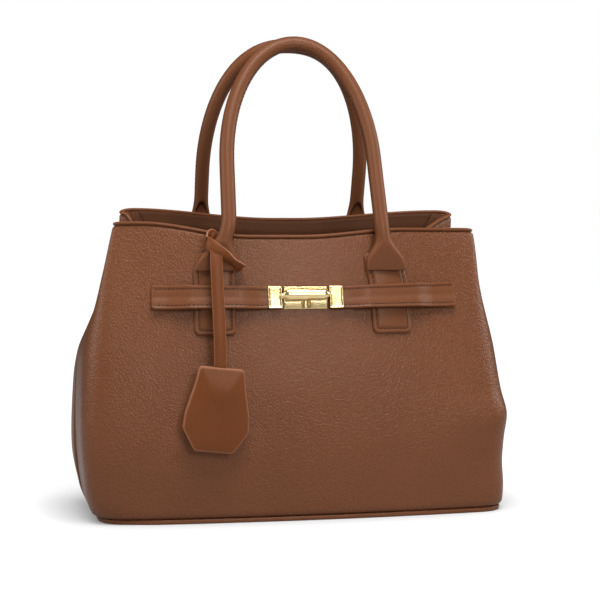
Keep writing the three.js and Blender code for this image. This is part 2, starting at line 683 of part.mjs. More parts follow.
function addCharm(bag) {
  const hinge = handleHinge(FRONT);
  const knot = new THREE.Group();
  const neckRise = footNeck(FRONT) * Math.sin(leanAt(FRONT, HANDLE_FOOT_X, FLARE_TOP_Z, LEAN_REACH));
  const loopFoot = FLARE_TOP_Z + neckRise + LOOP_CLEARANCE;
  knot.position.set(-HANDLE_FOOT_X, -hinge.depth, loopFoot);
  bag.add(knot);

  const loopInner = HANDLE_RADIUS + GAP;
  const loopOuter = loopInner + LOOP_THICKNESS;
  const ring = new THREE.Shape().absarc(0, 0, loopOuter, 0, Math.PI * 2);
  ring.holes.push(roundHole(0, 0, loopInner));
  const flats = { depth: LOOP_HEIGHT, bevelEnabled: false, curveSegments: ROUND_SIDES / 2 };
  addPiece(knot, 'charm_loop', new THREE.ExtrudeGeometry(ring, flats), CHARM_LEATHER);

  const swing = new THREE.Group();
  const half = STRAP_THICKNESS / 2;
  swing.position.set(0, -loopOuter - 2 * GAP - half, LOOP_HEIGHT / 2);
  const bellHalf = half + GAP + BELL_WALL;
  const bellDepth = BELLY_CORNER_DEPTH + BASE_BOW + CHARM_CLEARANCE + bellHalf;
  const forward = bellDepth - hinge.depth + swing.position.y;
  swing.rotation.x = -Math.asin(forward / STRAP_LENGTH);
  knot.add(swing);
  addPiece(swing, 'charm_strap', strapSolid(STRAP_TOP, half + GAP - STRAP_LENGTH, false), CHARM_LEATHER);

  const bell = new THREE.Group();
  bell.position.set(0, 0, -STRAP_LENGTH);
  bell.rotation.x = -swing.rotation.x;
  swing.add(bell);
  addPiece(bell, 'charm_tongue', strapSolid(0, -TONGUE_LENGTH, true), CHARM_LEATHER);
  const frontFace = frontPlate(bellShape(), half + GAP, BELL_WALL);
  frontFace.translate(0, 0, -BELL_DROP);
  addPiece(bell, 'charm_bell_front', frontFace, CHARM_LEATHER);
  const backFace = frontPlate(bellShape(), -half - GAP - BELL_WALL, BELL_WALL);
  backFace.translate(0, 0, -BELL_DROP);
  addPiece(bell, 'charm_bell_back', backFace, CHARM_LEATHER);
}

const bag = new THREE.Group();
bag.name = 'tote_bag';
addBase(bag);
for (const side of [-1, 1]) {
  addSideLining(bag, side);
  addBelt(bag, side);
}
for (const wall of [FRONT, BACK]) {
  addWall(bag, wall);
  addHandle(bag, wall);
  addHandleFoot(bag, wall, -1);
  addHandleFoot(bag, wall, 1);
}
addLock(bag);
addCharm(bag);

export default bag;
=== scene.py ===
# %% [markdown]
# # A leather tote bag, piece by piece
# A tote bag is a soft shell that keeps its shape through what is sewn to it: a stiff base, a bound rim,
# handle tabs and a belt. The construction frame holds every piece at its real size, with the joints of
# the handles, the lock and the charm. This lesson gives each piece its finished surface in that frame.

# %% Load the frame
import json
import math
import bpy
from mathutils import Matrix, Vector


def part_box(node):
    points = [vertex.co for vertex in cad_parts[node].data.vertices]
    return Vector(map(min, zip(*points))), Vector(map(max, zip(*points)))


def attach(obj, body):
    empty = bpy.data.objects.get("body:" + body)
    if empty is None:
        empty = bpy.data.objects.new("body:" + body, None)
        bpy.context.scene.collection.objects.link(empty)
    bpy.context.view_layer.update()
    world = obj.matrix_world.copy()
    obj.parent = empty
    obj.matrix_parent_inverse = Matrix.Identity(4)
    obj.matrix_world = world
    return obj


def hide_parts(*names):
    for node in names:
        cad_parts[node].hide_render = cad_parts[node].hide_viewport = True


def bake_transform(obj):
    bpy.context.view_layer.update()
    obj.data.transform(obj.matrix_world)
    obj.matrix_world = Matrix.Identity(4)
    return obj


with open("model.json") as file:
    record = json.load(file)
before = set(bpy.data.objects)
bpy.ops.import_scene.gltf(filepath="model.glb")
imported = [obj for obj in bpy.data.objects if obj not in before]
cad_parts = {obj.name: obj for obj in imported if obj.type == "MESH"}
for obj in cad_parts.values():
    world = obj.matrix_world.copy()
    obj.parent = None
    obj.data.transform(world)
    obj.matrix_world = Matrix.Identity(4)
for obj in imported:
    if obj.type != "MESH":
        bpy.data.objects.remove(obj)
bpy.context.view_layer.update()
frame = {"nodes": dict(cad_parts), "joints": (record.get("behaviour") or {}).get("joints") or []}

from types import SimpleNamespace

import bmesh
import bpy
from mathutils import Matrix, Vector, noise

JOINTS = {joint["name"]: joint for joint in frame["joints"]}
X_AXIS = Vector((1, 0, 0))
Z_AXIS = Vector((0, 0, 1))

# %% [markdown]
# ## The camera
# The bag is seen from its front, a little from the left and from just above the middle. A long lens far
# away keeps the upright edges nearly parallel, as a product photograph does. The lens is given in pixels
# of the square image, because that is how a focal length is measured from a picture.

# %% Camera
IMAGE_PIXELS = 600
FOCAL_PIXELS = 1358.7
CAMERA_AZIMUTH = math.radians(10.186)
CAMERA_TURN = math.radians(0.3826)
CAMERA_PITCH = math.radians(2.503)
CAMERA_DISTANCE = 1.0909
CAMERA_HEIGHT = 0.2124


def add_camera():
    """Places the camera and makes it the scene's own."""
    data = bpy.data.cameras.new("photo_camera")
    data.sensor_width = 36
    data.lens = FOCAL_PIXELS * data.sensor_width / IMAGE_PIXELS
    camera = bpy.data.objects.new("photo_camera", data)
    camera.location = (
        -math.sin(CAMERA_AZIMUTH) * CAMERA_DISTANCE,
        -math.cos(CAMERA_AZIMUTH) * CAMERA_DISTANCE,
        CAMERA_HEIGHT,
    )
    camera.rotation_euler = (math.pi / 2 - CAMERA_PITCH, 0, -CAMERA_AZIMUTH - CAMERA_TURN)
    bpy.context.scene.collection.objects.link(camera)
    bpy.context.scene.camera = camera
    return camera


camera = add_camera()
camera_place = tuple(round(value, 3) for value in camera.location)
print("camera at", camera_place, "with a lens of", round(camera.data.lens, 1), "mm")

# %% [markdown]
# ## Building node materials
# Every finish here is worked out from formulas, never from a picture. A material is a small tree of
# nodes, so a few helpers that add a node, mix two colours or move a number to another range keep the
# recipes short enough to read.

# %% Helpers for nodes
NOISE_RANGE = (0.3, 0.7)


def add_node(tree, kind, links=(), **values):
    """A node with some inputs set and others linked."""
    node = tree.nodes.new(kind)
    for name, value in values.items():
        node.inputs[name.replace("_", " ")].default_value = value
    for name, output in dict(links).items():
        tree.links.new(output, node.inputs[name])
    return node


def mix_colour(tree, factor, first, last):
    """The output that runs from the first colour to the last one as the factor does."""
    node = tree.nodes.new("ShaderNodeMix")
    node.data_type = "RGBA"
    tree.links.new(factor, node.inputs[0])
    for socket, colour in ((node.inputs[6], first), (node.inputs[7], last)):
        if isinstance(colour, bpy.types.NodeSocket):
            tree.links.new(colour, socket)
        else:
            socket.default_value = colour
    return node.outputs[2]


def ramp(tree, value, from_low, from_high, to_low, to_high):
    """A number moved from one range to another."""
    node = add_node(tree, "ShaderNodeMapRange", {"Value": value})
    node.inputs["From Min"].default_value = from_low
    node.inputs["From Max"].default_value = from_high
    node.inputs["To Min"].default_value = to_low
    node.inputs["To Max"].default_value = to_high
    return node.outputs["Result"]


def arithmetic(tree, operation, first, second):
    """The output of one step of arithmetic on two outputs or numbers."""
    node = tree.nodes.new("ShaderNodeMath")
    node.operation = operation
    for socket, value in zip(node.inputs, (first, second)):
        if isinstance(value, bpy.types.NodeSocket):
            tree.links.new(value, socket)
        else:
            socket.default_value = value
    return node.outputs[0]


def drawn_out(tree, noise_node):
    """The middle range of a noise, drawn out to run from 0 to 1."""
    return ramp(tree, noise_node.outputs["Fac"], *NOISE_RANGE, 0, 1)


def shade(colour, level):
    return (colour[0] * level, colour[1] * level, colour[2] * level, 1)


def new_finish(name):
    """A new material, its tree, its shader and the Object coordinates that its patterns read."""
    material = bpy.data.materials.new(name)
    material.use_nodes = True
    tree = material.node_tree
    place = add_node(tree, "ShaderNodeTexCoord").outputs["Object"]
    return material, tree, tree.nodes["Principled BSDF"], place


print("helpers: add_node, mix_colour, ramp, arithmetic, drawn_out, shade, new_finish")

# %% [markdown]
# ## Floor, backdrop and light
# The bag stands on a white sweep in soft studio light. Brighter lamps would whiten the floor but bleach
# the leather too. So the lamps stay at a plain level, and the floor and the world are only made whiter
# for the rays that come from the camera. The floor still takes the bag's shadow: its lift grows with the
# distance, because the lamps reach the far floor less, and Ambient Occlusion takes the lift away in the
# few centimetres that the bag shades, which paints a contact shadow round the bag. In reflections floor
# and studio are dim, and the studio is a little brighter on the camera's side, so that mostly the soft
# boxes shine in the leather and in the lock.

# %% Floor, world and lamps
FLOOR_SIZE = 8.0
FLOOR_COLOUR = (0.45, 0.45, 0.455, 1)
FLOOR_FILL_NEAR = 0.64
FLOOR_FILL_FAR = 1.0
FLOOR_FILL_REACH = (0.25, 1.5)
FLOOR_MIRRORED = 0.15
FLOOR_SHADE_REACH = 0.05
WORLD_LIGHT = 0.14
STUDIO_FRONT = 0.15
STUDIO_BACK = 0.06
STUDIO_TURN = 0.5


def either_ray(tree, names):
    """A number that is 1 for the named kinds of rays, and 0 for the others."""
    path = add_node(tree, "ShaderNodeLightPath")
    total = path.outputs[names[0]]
    for name in names[1:]:
        total = arithmetic(tree, "MAXIMUM", total, path.outputs[name])
    return total


def floor_material():
    """A matt pale floor that is lifted to white where it is looked at, less near the bag, which paints a
    contact shadow.
    """
    material = bpy.data.materials.new("studio_floor")
    material.use_nodes = True
    tree = material.node_tree
    tree.nodes.clear()
    matt = add_node(tree, "ShaderNodeBsdfDiffuse", Color=FLOOR_COLOUR)
    away = add_node(tree, "ShaderNodeVectorMath")
    away.operation = "LENGTH"
    tree.links.new(add_node(tree, "ShaderNodeTexCoord").outputs["Object"], away.inputs[0])
    lift = ramp(tree, away.outputs["Value"], *FLOOR_FILL_REACH, FLOOR_FILL_NEAR, FLOOR_FILL_FAR)
    mirrored = either_ray(tree, ("Is Glossy Ray", "Is Transmission Ray"))
    dimmed = arithmetic(tree, "MULTIPLY", mirrored, FLOOR_MIRRORED)
    seen = arithmetic(tree, "MAXIMUM", either_ray(tree, ("Is Camera Ray",)), dimmed)
    # painted contact shadow: ambient occlusion dims the floor's lift in the few centimetres round the bag
    painted_shadow_factor = add_node(tree, "ShaderNodeAmbientOcclusion", Distance=FLOOR_SHADE_REACH).outputs["AO"]
    lift = arithmetic(tree, "MULTIPLY", lift, painted_shadow_factor)
    fill = add_node(tree, "ShaderNodeEmission", {"Strength": arithmetic(tree, "MULTIPLY", lift, seen)})
    both = add_node(tree, "ShaderNodeAddShader")
    tree.links.new(matt.outputs[0], both.inputs[0])
    tree.links.new(fill.outputs[0], both.inputs[1])
    add_node(tree, "ShaderNodeOutputMaterial", {"Surface": both.outputs[0]})
    return material


def add_floor():
    """The floor, as part of the stage."""
    bm = bmesh.new()
    bmesh.ops.create_grid(bm, x_segments=1, y_segments=1, size=FLOOR_SIZE / 2)
    mesh = bpy.data.meshes.new("floor")
    bm.to_mesh(mesh)
    bm.free()
    mesh.materials.append(floor_material())
    floor = bpy.data.objects.new("floor", mesh)
    bpy.context.scene.collection.objects.link(floor)


def add_world():
    """White to look at, a soft light, and in reflections a dim studio."""
    world = bpy.data.worlds.new("studio")
    world.use_nodes = True
    bpy.context.scene.world = world
    tree = world.node_tree
    ground = tree.nodes["Background"]
    direction = add_node(tree, "ShaderNodeTexCoord").outputs["Generated"]
    parts = add_node(tree, "ShaderNodeSeparateXYZ", {"Vector": direction})
    studio = ramp(tree, parts.outputs["Y"], -STUDIO_TURN, STUDIO_TURN, STUDIO_FRONT, STUDIO_BACK)
    mirrored = either_ray(tree, ("Is Glossy Ray", "Is Transmission Ray"))
    light = add_node(tree, "ShaderNodeMapRange", {"Value": mirrored, "To Max": studio}, To_Min=WORLD_LIGHT)
    seen = either_ray(tree, ("Is Camera Ray",))
    sources = {"Value": seen, "To Min": light.outputs["Result"]}
    level = add_node(tree, "ShaderNodeMapRange", sources, To_Max=1.0)
    tree.links.new(level.outputs["Result"], ground.inputs["Strength"])
    ground.inputs["Color"].default_value = (1, 1, 1, 1)


def add_lamp(name, place, aim, width, height, power):
    """A soft box at a place, turned to a point of the bag."""
    data = bpy.data.lights.new(name, "AREA")
    data.shape = "RECTANGLE"
    data.size = width
    data.size_y = height
    data.energy = power
    lamp = bpy.data.objects.new(name, data)
    lamp.location = place
    lamp.rotation_euler = (Vector(aim) - Vector(place)).to_track_quat("-Z", "Y").to_euler()
    bpy.context.scene.collection.objects.link(lamp)


bpy.context.scene.view_settings.view_transform = "Standard"
add_floor()
add_world()
add_lamp("key_softbox", (0.05, -0.62, 1.32), aim=(0, 0, 0.16), width=0.8, height=0.6, power=16)
add_lamp("front_softbox", (0.20, -1.25, 0.56), aim=(0, 0, 0.15), width=0.36, height=0.32, power=5)
add_lamp("left_softbox", (-1.25, -0.18, 0.70), aim=(-0.1, 0, 0.13), width=0.8, height=0.8, power=7.5)
add_lamp("right_softbox", (1.25, -0.08, 0.70), aim=(0.1, 0, 0.13), width=0.8, height=0.8, power=8)
add_lamp("top_softbox", (-0.2, 0.1, 1.9), aim=(0, 0, 0.1), width=1.4, height=1.4, power=3)
print("stage: floor, world and 5 soft boxes")

# %% [markdown]
# ## Making pieces
# Nearly everything on the bag is one of three forms: a sheet of leather bent over the body, a roll
# that follows a line, or a small solid that is cut and bevelled. The helpers here make the first two
# from bmesh operators: a grid whose points are moved, and a ring that is extruded from place to place.

# %% Helpers for pieces


def mix(first, last, share):
    return first + (last - first) * share


def clamp(value, low=0.0, high=1.0):
    return min(max(value, low), high)


def ease(value):
    """Runs from 0 to 1 with soft ends."""
    value = clamp(value)
    return value * value * (3 - 2 * value)


def peak(value, middle, reach):
    """A soft bump that is 1 at its middle."""
    return math.exp(-(((value - middle) / reach) ** 2))


def bent_sheet(columns, rows, place):
    """A grid whose points go where place(u, v) says, with u and v from 0 to 1."""
    bm = bmesh.new()
    bmesh.ops.create_grid(bm, x_segments=columns, y_segments=rows, size=0.5)
    for vert in bm.verts:
        vert.co = place(vert.co.x + 0.5, vert.co.y + 0.5)
    return bm


def loft(rings, closed=False, open_end=False, marks=None):
    """Extrudes the first ring of points through all the others, then closes what is left open.

    marks may hold lists by attribute name: for each ring, a number for each of its points.
    """
    marks = marks or {}
    bm = bmesh.new()
    order = bm.verts.layers.int.new("order")
    layers = {name: bm.verts.layers.float.new(name) for name in marks}
    start = [bm.verts.new(point) for point in rings[0]]
    for number, vert in enumerate(start):
        vert[order] = number
        for name, layer in layers.items():
            vert[layer] = marks[name][0][number]
    first = [bm.edges.new((start[number - 1], vert)) for number, vert in enumerate(start)]
    edges = first
    for place, ring in enumerate(rings[1:], 1):
        made = bmesh.ops.extrude_edge_only(bm, edges=edges)["geom"]
        edges = [part for part in made if isinstance(part, bmesh.types.BMEdge) and part.is_boundary]
        for vert in made:
            if isinstance(vert, bmesh.types.BMVert):
                vert.co = ring[vert[order]]
                for name, layer in layers.items():
                    vert[layer] = marks[name][place][vert[order]]
    if closed:
        bmesh.ops.bridge_loops(bm, edges=first + edges)
    elif open_end:
        bmesh.ops.holes_fill(bm, edges=first, sides=0)
    else:
        bmesh.ops.holes_fill(bm, edges=first + edges, sides=0)
    bmesh.ops.recalc_face_normals(bm, faces=bm.faces)
    return bm


def add_piece(name, bm, material, body=None, replaced=(), thickness=0.0):
    """Makes the finished object of a piece, hangs it on the body that it rides on and hides the frame parts
    that it stands for.
    """
    mesh = bpy.data.meshes.new(name)
    bm.to_mesh(mesh)
    bm.free()
    mesh.materials.append(material)
    mesh.shade_smooth()
    piece = bpy.data.objects.new(name, mesh)
    bpy.context.scene.collection.objects.link(piece)
    if thickness:
        wall = piece.modifiers.new("thickness", "SOLIDIFY")
        wall.thickness = thickness
        wall.offset = -1
    if replaced:
        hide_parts(*replaced)
    if body:
        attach(piece, body)
    print(name, "has", len(mesh.polygons), "faces")
    return piece


def resample(points, pitch):
    """Points at an even pitch along a line of points."""
    lengths = [0.0]
    for first, last in zip(points, points[1:]):
        lengths.append(lengths[-1] + (last - first).length)
    count = max(2, round(lengths[-1] / pitch) + 1)
    even = []
    leg = 0
    for number in range(count):
        want = lengths[-1] * number / (count - 1)
        while leg < len(points) - 2 and lengths[leg + 1] < want:
            leg += 1
        span = max(lengths[leg + 1] - lengths[leg], 1e-9)
        even.append(points[leg].lerp(points[leg + 1], clamp((want - lengths[leg]) / span)))
    return even


def smoothed(line, times):
    """A line of points with its bends eased out and both ends kept."""
    for _ in range(times):
        middle = [(line[n - 1] + line[n] * 2 + line[n + 1]) / 4 for n in range(1, len(line) - 1)]
        line = [line[0]] + middle + [line[-1]]
    return line


def heading(line, number):
    """The way that a line goes at one of its points, from the points on either side."""
    return line[min(number + 1, len(line) - 1)] - line[max(number - 1, 0)]


def turns(count):
    """The angles of evenly spaced points round a circle."""
    return [2 * math.pi * number / count for number in range(count)]


def round_edges(bm, edges, reach, segments=2):
    bmesh.ops.bevel(
        bm, geom=edges, offset=reach, segments=segments, profile=0.5, affect="EDGES", material=-1,
    )


print("helpers: bent_sheet, loft, add_piece, resample, smoothed, heading, turns, round_edges")

# %% [markdown]
# ## Leather
# The body is calf leather embossed with a fine pebble: rounded cells under 2 mm across with narrow
# creases between them. The belt, handles and charm are smooth leather, with only pores. Both are one
# node recipe with other numbers. Voronoi cells on Object coordinates give the pebbles, a little noise
# bends them out of line, and the same height drives the bump, the darker creases and the gloss. Two
# attributes that pieces may carry change the colour. One paints shade into sewn grooves and along the
# hems of the handles. The other lightens cut edges, which are really paler, and the crests of beads, and
# paints a highlight on the ridges of the handle feet.

# %% Leather materials
# a dressed hide mirrors less at a glance than bare varnish does, which a low index of refraction gives
LEATHER_IOR = 1.25
WARM_SHINE = (1.0, 0.90, 0.82, 1)
# the grain: how the cells stray and how fine the pores are, both against the size of a pebble
STRAY_SCALE = 0.35
STRAY_REACH = 0.9
CELL_SMOOTHNESS = 0.35
CREASE_RANGE = (0.30, 0.66)
PORE_SCALE = 2.6
PORE_HEIGHT = 0.35
PATCH_SCALE = 16.0
# tones against the leather's own colour, and how fully they show; the groove tone is painted shade, and the
# pale tone paints wear and a highlight
PATCH_TONES = (0.93, 1.07)
CREASE_SHOW = 0.65
GROOVE_SHADE_TONE = 0.28
GROOVE_SHADE_SHOW = 0.75
WEAR_AND_SHEEN_TONE = 1.45


def leather(name, colour, pebble, depth, gloss, shine, crease_tone=0.62, edge=None):
    """Leather with pebbles of a size and depth in metres, a roughness range and a strength of shine."""
    material, tree, shader, place = new_finish(name)
    stray = add_node(tree, "ShaderNodeTexNoise", {"Vector": place}, Scale=STRAY_SCALE / pebble, Detail=1.0)
    bent = tree.nodes.new("ShaderNodeVectorMath")
    bent.operation = "MULTIPLY_ADD"
    tree.links.new(stray.outputs["Color"], bent.inputs[0])
    bent.inputs[1].default_value = [pebble * STRAY_REACH] * 3
    tree.links.new(place, bent.inputs[2])
    cells = add_node(tree, "ShaderNodeTexVoronoi", {"Vector": bent.outputs[0]}, Scale=1 / pebble)
    cells.feature = "SMOOTH_F1"
    cells.inputs["Smoothness"].default_value = CELL_SMOOTHNESS
    creases = ramp(tree, cells.outputs["Distance"], *CREASE_RANGE, 0, 1)
    pores = add_node(tree, "ShaderNodeTexNoise", {"Vector": place}, Scale=PORE_SCALE / pebble, Detail=3.0)
    pore_height = arithmetic(tree, "MULTIPLY", pores.outputs["Fac"], PORE_HEIGHT)
    height = arithmetic(tree, "SUBTRACT", pore_height, creases)
    bump = add_node(tree, "ShaderNodeBump", {"Height": height}, Strength=1.0, Distance=depth)
    tree.links.new(bump.outputs["Normal"], shader.inputs["Normal"])
    patches = add_node(tree, "ShaderNodeTexNoise", {"Vector": place}, Scale=PATCH_SCALE, Detail=3.0)
    tone = drawn_out(tree, patches)
    hide = mix_colour(tree, tone, shade(colour, PATCH_TONES[0]), shade(colour, PATCH_TONES[1]))
    dark = arithmetic(tree, "MULTIPLY", creases, CREASE_SHOW)
    hide = mix_colour(tree, dark, hide, shade(colour, crease_tone))
    # painted shade: an attribute darkens the leather in sewn grooves and along the hems of the handles
    groove = add_node(tree, "ShaderNodeAttribute")
    groove.attribute_name = "crease"
    groove_shade = arithmetic(tree, "MULTIPLY", groove.outputs["Fac"], GROOVE_SHADE_SHOW)
    hide = mix_colour(tree, groove_shade, hide, shade(colour, GROOVE_SHADE_TONE))
    # wear and painted highlight: an attribute lightens cut edges and bead crests, and paints a highlight on
    # the ridges of the handle feet
    paleness = add_node(tree, "ShaderNodeAttribute")
    paleness.attribute_name = "wear"
    hide = mix_colour(tree, paleness.outputs["Fac"], hide, edge or shade(colour, WEAR_AND_SHEEN_TONE))
    tree.links.new(hide, shader.inputs["Base Color"])
    rough = ramp(tree, arithmetic(tree, "ADD", creases, tone), 0, 2, *gloss)
    tree.links.new(rough, shader.inputs["Roughness"])
    shader.inputs["IOR"].default_value = LEATHER_IOR
    shader.inputs["Specular IOR Level"].default_value = shine
    shader.inputs["Specular Tint"].default_value = WARM_SHINE
    return material


BROWN = (0.165, 0.0575, 0.0235)
RED_BROWN = (0.160, 0.048, 0.015)
DARK_BROWN = (0.085, 0.029, 0.012)
# painted shade: a darker brown for the facings, for the shade inside the bag
INSIDE_SHADE_BROWN = (0.070, 0.024, 0.009)
PALE_EDGE = (0.36, 0.16, 0.09, 1)
FINE_GRAIN = {"pebble": 0.0009, "depth": 0.00003, "crease_tone": 0.85}
PEBBLED = leather("pebbled_calf", BROWN, 0.0016, 0.00016, (0.25, 0.35), shine=0.85, crease_tone=0.84)
SMOOTH = leather("smooth_calf", BROWN, gloss=(0.30, 0.40), shine=0.60, **FINE_GRAIN)
CHARM = leather("charm_calf", RED_BROWN, gloss=(0.34, 0.44), shine=0.45, edge=PALE_EDGE, **FINE_GRAIN)
LINING = leather("lining_suede", DARK_BROWN, 0.0012, 0.00010, (0.62, 0.74), shine=0.4)
# painted shade: the facing is a darker copy of the calf, for the shade inside the rim
SHADED_FACING = leather("facing_calf", INSIDE_SHADE_BROWN, gloss=(0.45, 0.55), shine=0.3, **FINE_GRAIN)
print("leathers:", ", ".join(hide.name for hide in (PEBBLED, SMOOTH, CHARM, LINING, SHADED_FACING)))

# %% [markdown]
# ## Metal, thread, rope and board
# The lock is cast brass with a polished pale gold plating. Real plating is never one even mirror, so a
# slow noise clouds its gloss and a fine one leaves hair scratches. The sewing thread is waxed and twisted,
# and the two hidden materials, the rope in the handles and the board in the base, get their own grain.

# %% Other materials
GOLD_TONES = ((0.90, 0.67, 0.31, 1), (0.95, 0.76, 0.40, 1))
GOLD_GLOSS = (0.16, 0.27)
GLOSS_NOISE_RANGE = (0.6, 1.4)
CLOUD_SCALE = 140.0
HAIR_STRETCH = (300, 4000, 4000)
HAIR_STRENGTH = 0.08
HAIR_DEPTH = 0.00005
FIBRE_TONES = (0.7, 1.25)
FIBRE_STRENGTH = 0.6
FIBRE_SHINE = 0.15


def gold():
    """Polished plating with a slow cloud and fine scratches in its gloss."""
    material, tree, shader, place = new_finish("pale_gold")
    cloud = add_node(tree, "ShaderNodeTexNoise", {"Vector": place}, Scale=CLOUD_SCALE, Detail=2.0)
    stretch = add_node(tree, "ShaderNodeMapping", {"Vector": place}, Scale=HAIR_STRETCH)
    hairs = add_node(tree, "ShaderNodeTexNoise", {"Vector": stretch.outputs[0]}, Scale=1.0, Detail=2.0)
    both = arithmetic(tree, "ADD", cloud.outputs["Fac"], hairs.outputs["Fac"])
    tree.links.new(ramp(tree, both, *GLOSS_NOISE_RANGE, *GOLD_GLOSS), shader.inputs["Roughness"])
    plating = mix_colour(tree, drawn_out(tree, cloud), *GOLD_TONES)
    tree.links.new(plating, shader.inputs["Base Color"])
    height = {"Height": hairs.outputs["Fac"]}
    bump = add_node(tree, "ShaderNodeBump", height, Strength=HAIR_STRENGTH, Distance=HAIR_DEPTH)
    tree.links.new(bump.outputs["Normal"], shader.inputs["Normal"])
    shader.inputs["Metallic"].default_value = 1.0
    return material


def fibre(name, colour, scale, stretch, depth, roughness):
    """A fibrous finish: noise drawn out along one direction."""
    material, tree, shader, place = new_finish(name)
    drawn = add_node(tree, "ShaderNodeMapping", {"Vector": place}, Scale=stretch)
    strands = add_node(tree, "ShaderNodeTexNoise", {"Vector": drawn.outputs[0]}, Scale=scale, Detail=3.0)
    dark, light = (shade(colour, tone) for tone in FIBRE_TONES)
    hue = mix_colour(tree, drawn_out(tree, strands), dark, light)
    tree.links.new(hue, shader.inputs["Base Color"])
    height = {"Height": strands.outputs["Fac"]}
    bump = add_node(tree, "ShaderNodeBump", height, Strength=FIBRE_STRENGTH, Distance=depth)
    tree.links.new(bump.outputs["Normal"], shader.inputs["Normal"])
    shader.inputs["Roughness"].default_value = roughness
    shader.inputs["Specular IOR Level"].default_value = FIBRE_SHINE
    return material


GOLD = gold()
THREAD = fibre("waxed_thread", (0.070, 0.021, 0.009), 3000.0, (1, 1, 1), depth=0.0001, roughness=0.55)
ROPE = fibre("cotton_rope", (0.48, 0.40, 0.29), 900.0, (1, 1, 0.35), depth=0.0004, roughness=0.85)
BOARD = fibre("grey_board", (0.30, 0.24, 0.17), 500.0, (0.2, 1, 1), depth=0.0003, roughness=0.8)
print("other finishes:", GOLD.name, THREAD.name, ROPE.name, BOARD.name)

# %% [markdown]
# ## The shape of the body
# The front and back walls are each one hide that goes round the two corners and meets the other at a
# seam in the middle of the side. Towards the rim the seam is drawn in, so the sides fold inwards in a V.
# Each level of the bag is an outline worked out from a few sizes: the half width, the depth at the
# corner, the bow of the face and the place of the seam. A maker would call these the pattern's sizes.

# %% Sizes of the walls
RIM_Z = 0.217
PROFILE_TOP_Z = 0.222
BASE_HALF_WIDTH = 0.1608
BELLY_HALF_WIDTH = 0.1642
BASE_CORNER_DEPTH = 0.061
BELLY_CORNER_DEPTH = 0.065
BASE_BOW = 0.008
LOW_CORNER_ROUND = 0.020
RIM_CORNER_ROUND = 0.0095
ROUND_START_Z = 0.110
SIDE_BASE_BOW = 0.002
SIDE_BOW = 0.0045
FOLD_START_Z = 0.1236
FOLD_DEPTH = 0.044
SEAM_GAP = 0.0009
SHIFT_START_Z = 0.15
SHIFT_REACH = 0.07
LEAN = 0.003
LEAN_END_Z = 0.235
LEAN_REACH = 0.06
FACE_SHARE = 0.66
CORNER_SHARE = 0.78
CORNER_DROP_START = 0.63
CORNER_DROP_REACH = 0.15
SIDE_NAMES = {-1: "left", 1: "right"}
# for each side the height of the rim at its seam, then where along the wall its dip starts and its reach
SEAM_DIP = {-1: (0.207, 0.765, 0.130), 1: (0.2165, 0.74, 0.26)}
# how sizes run up the wall: where the belly is, how they go in above it and tuck in below, and how softly
DEPTH_SWELL = SimpleNamespace(belly_z=0.070, gentle=0.15, tuck=2, soft=0.016)
WIDTH_SWELL = SimpleNamespace(belly_z=0.0665, gentle=0.65, tuck=4, soft=0.003)

# rim_rise is how the rim climbs on each side, as (rise, start, reach), and foot the line of a handle's foot
# as (height, x). The last values are for the handle's arch and the leather's own waves.
FRONT = SimpleNamespace(
    name="front",
    side=-1,
    rim_half_width=0.1470,
    rim_corner=0.030,
    rim_bow=0.022,
    rim_shift=-0.0004,
    corner_drop=0.0010,
    rim_z=0.2146,
    rim_rise={-1: (0.0102, 0.040, 0.085), 1: (0.0057, 0.0, 0.085)},
    foot={
        -1: ((0.141, -0.0686), (0.190, -0.0684), (0.2055, -0.0640), (0.2243, -0.0577)),
        1: ((0.141, 0.0686), (0.182, 0.0660), (0.192, 0.0636), (0.2055, 0.0623), (0.2243, 0.0601)),
    },
    arch={-1: -0.0572, 1: 0.0584},
    arch_top_x=0.002,
    arch_power=1.0,
    flare_raise=0.0,
    drift=Vector((3.1, 0.4, 7.7)),
)
BACK = SimpleNamespace(
    name="back",
    side=1,
    rim_half_width=0.1419,
    rim_corner=0.022,
    rim_bow=0.030,
    rim_shift=0.0022,
    corner_drop=0.0034,
    rim_z=0.2292,
    rim_rise={-1: (0.0072, 0.010, 0.115), 1: (0.0064, 0.010, 0.115)},
    foot={-1: ((0.141, -0.0690), (0.235, -0.0662)), 1: ((0.141, 0.0690), (0.235, 0.0662))},
    arch={-1: -0.0662, 1: 0.0662},
    arch_top_x=0.0,
    arch_power=0.84,
    flare_raise=0.033,
    drift=Vector((9.3, 5.2, 1.6)),
)
print("rims at", FRONT.rim_z, "m in front and", BACK.rim_z, "m behind")

# %% Outline of the walls


def swell(z, base, belly, rim, run=DEPTH_SWELL):
    """A size that eases from the base out to the belly and then in to the rim, with no kink between."""
    tucked = (base - belly) * clamp(1 - z / run.belly_z) ** run.tuck
    above = run.soft * math.log1p(math.exp((z - run.belly_z) / run.soft))
    rise = clamp(above / (PROFILE_TOP_Z - run.belly_z))
    return belly + tucked + (rim - belly) * rise * (1 - run.gentle * (1 - rise))


def half_width(wall, z):
    return swell(z, BASE_HALF_WIDTH, BELLY_HALF_WIDTH, wall.rim_half_width, WIDTH_SWELL)


def corner_depth(wall, z):
    return swell(z, BASE_CORNER_DEPTH, BELLY_CORNER_DEPTH, wall.rim_corner)


def bow(wall, z):
    return swell(z, BASE_BOW, BASE_BOW, wall.rim_bow)


def sideways(wall, z):
    """How far a level of the soft body has moved to the right. The base holds its place."""
    lean = LEAN * ease(z / LEAN_REACH) * ease((LEAN_END_Z - z) / LEAN_REACH)
    return wall.rim_shift * ease((z - SHIFT_START_Z) / SHIFT_REACH) - lean


def depth(wall, x, z):
    """How far the face of a wall lies from the middle of the bag."""
    out = (x - sideways(wall, z)) / half_width(wall, z)
    return corner_depth(wall, z) + bow(wall, z) * (1 - out ** 2)


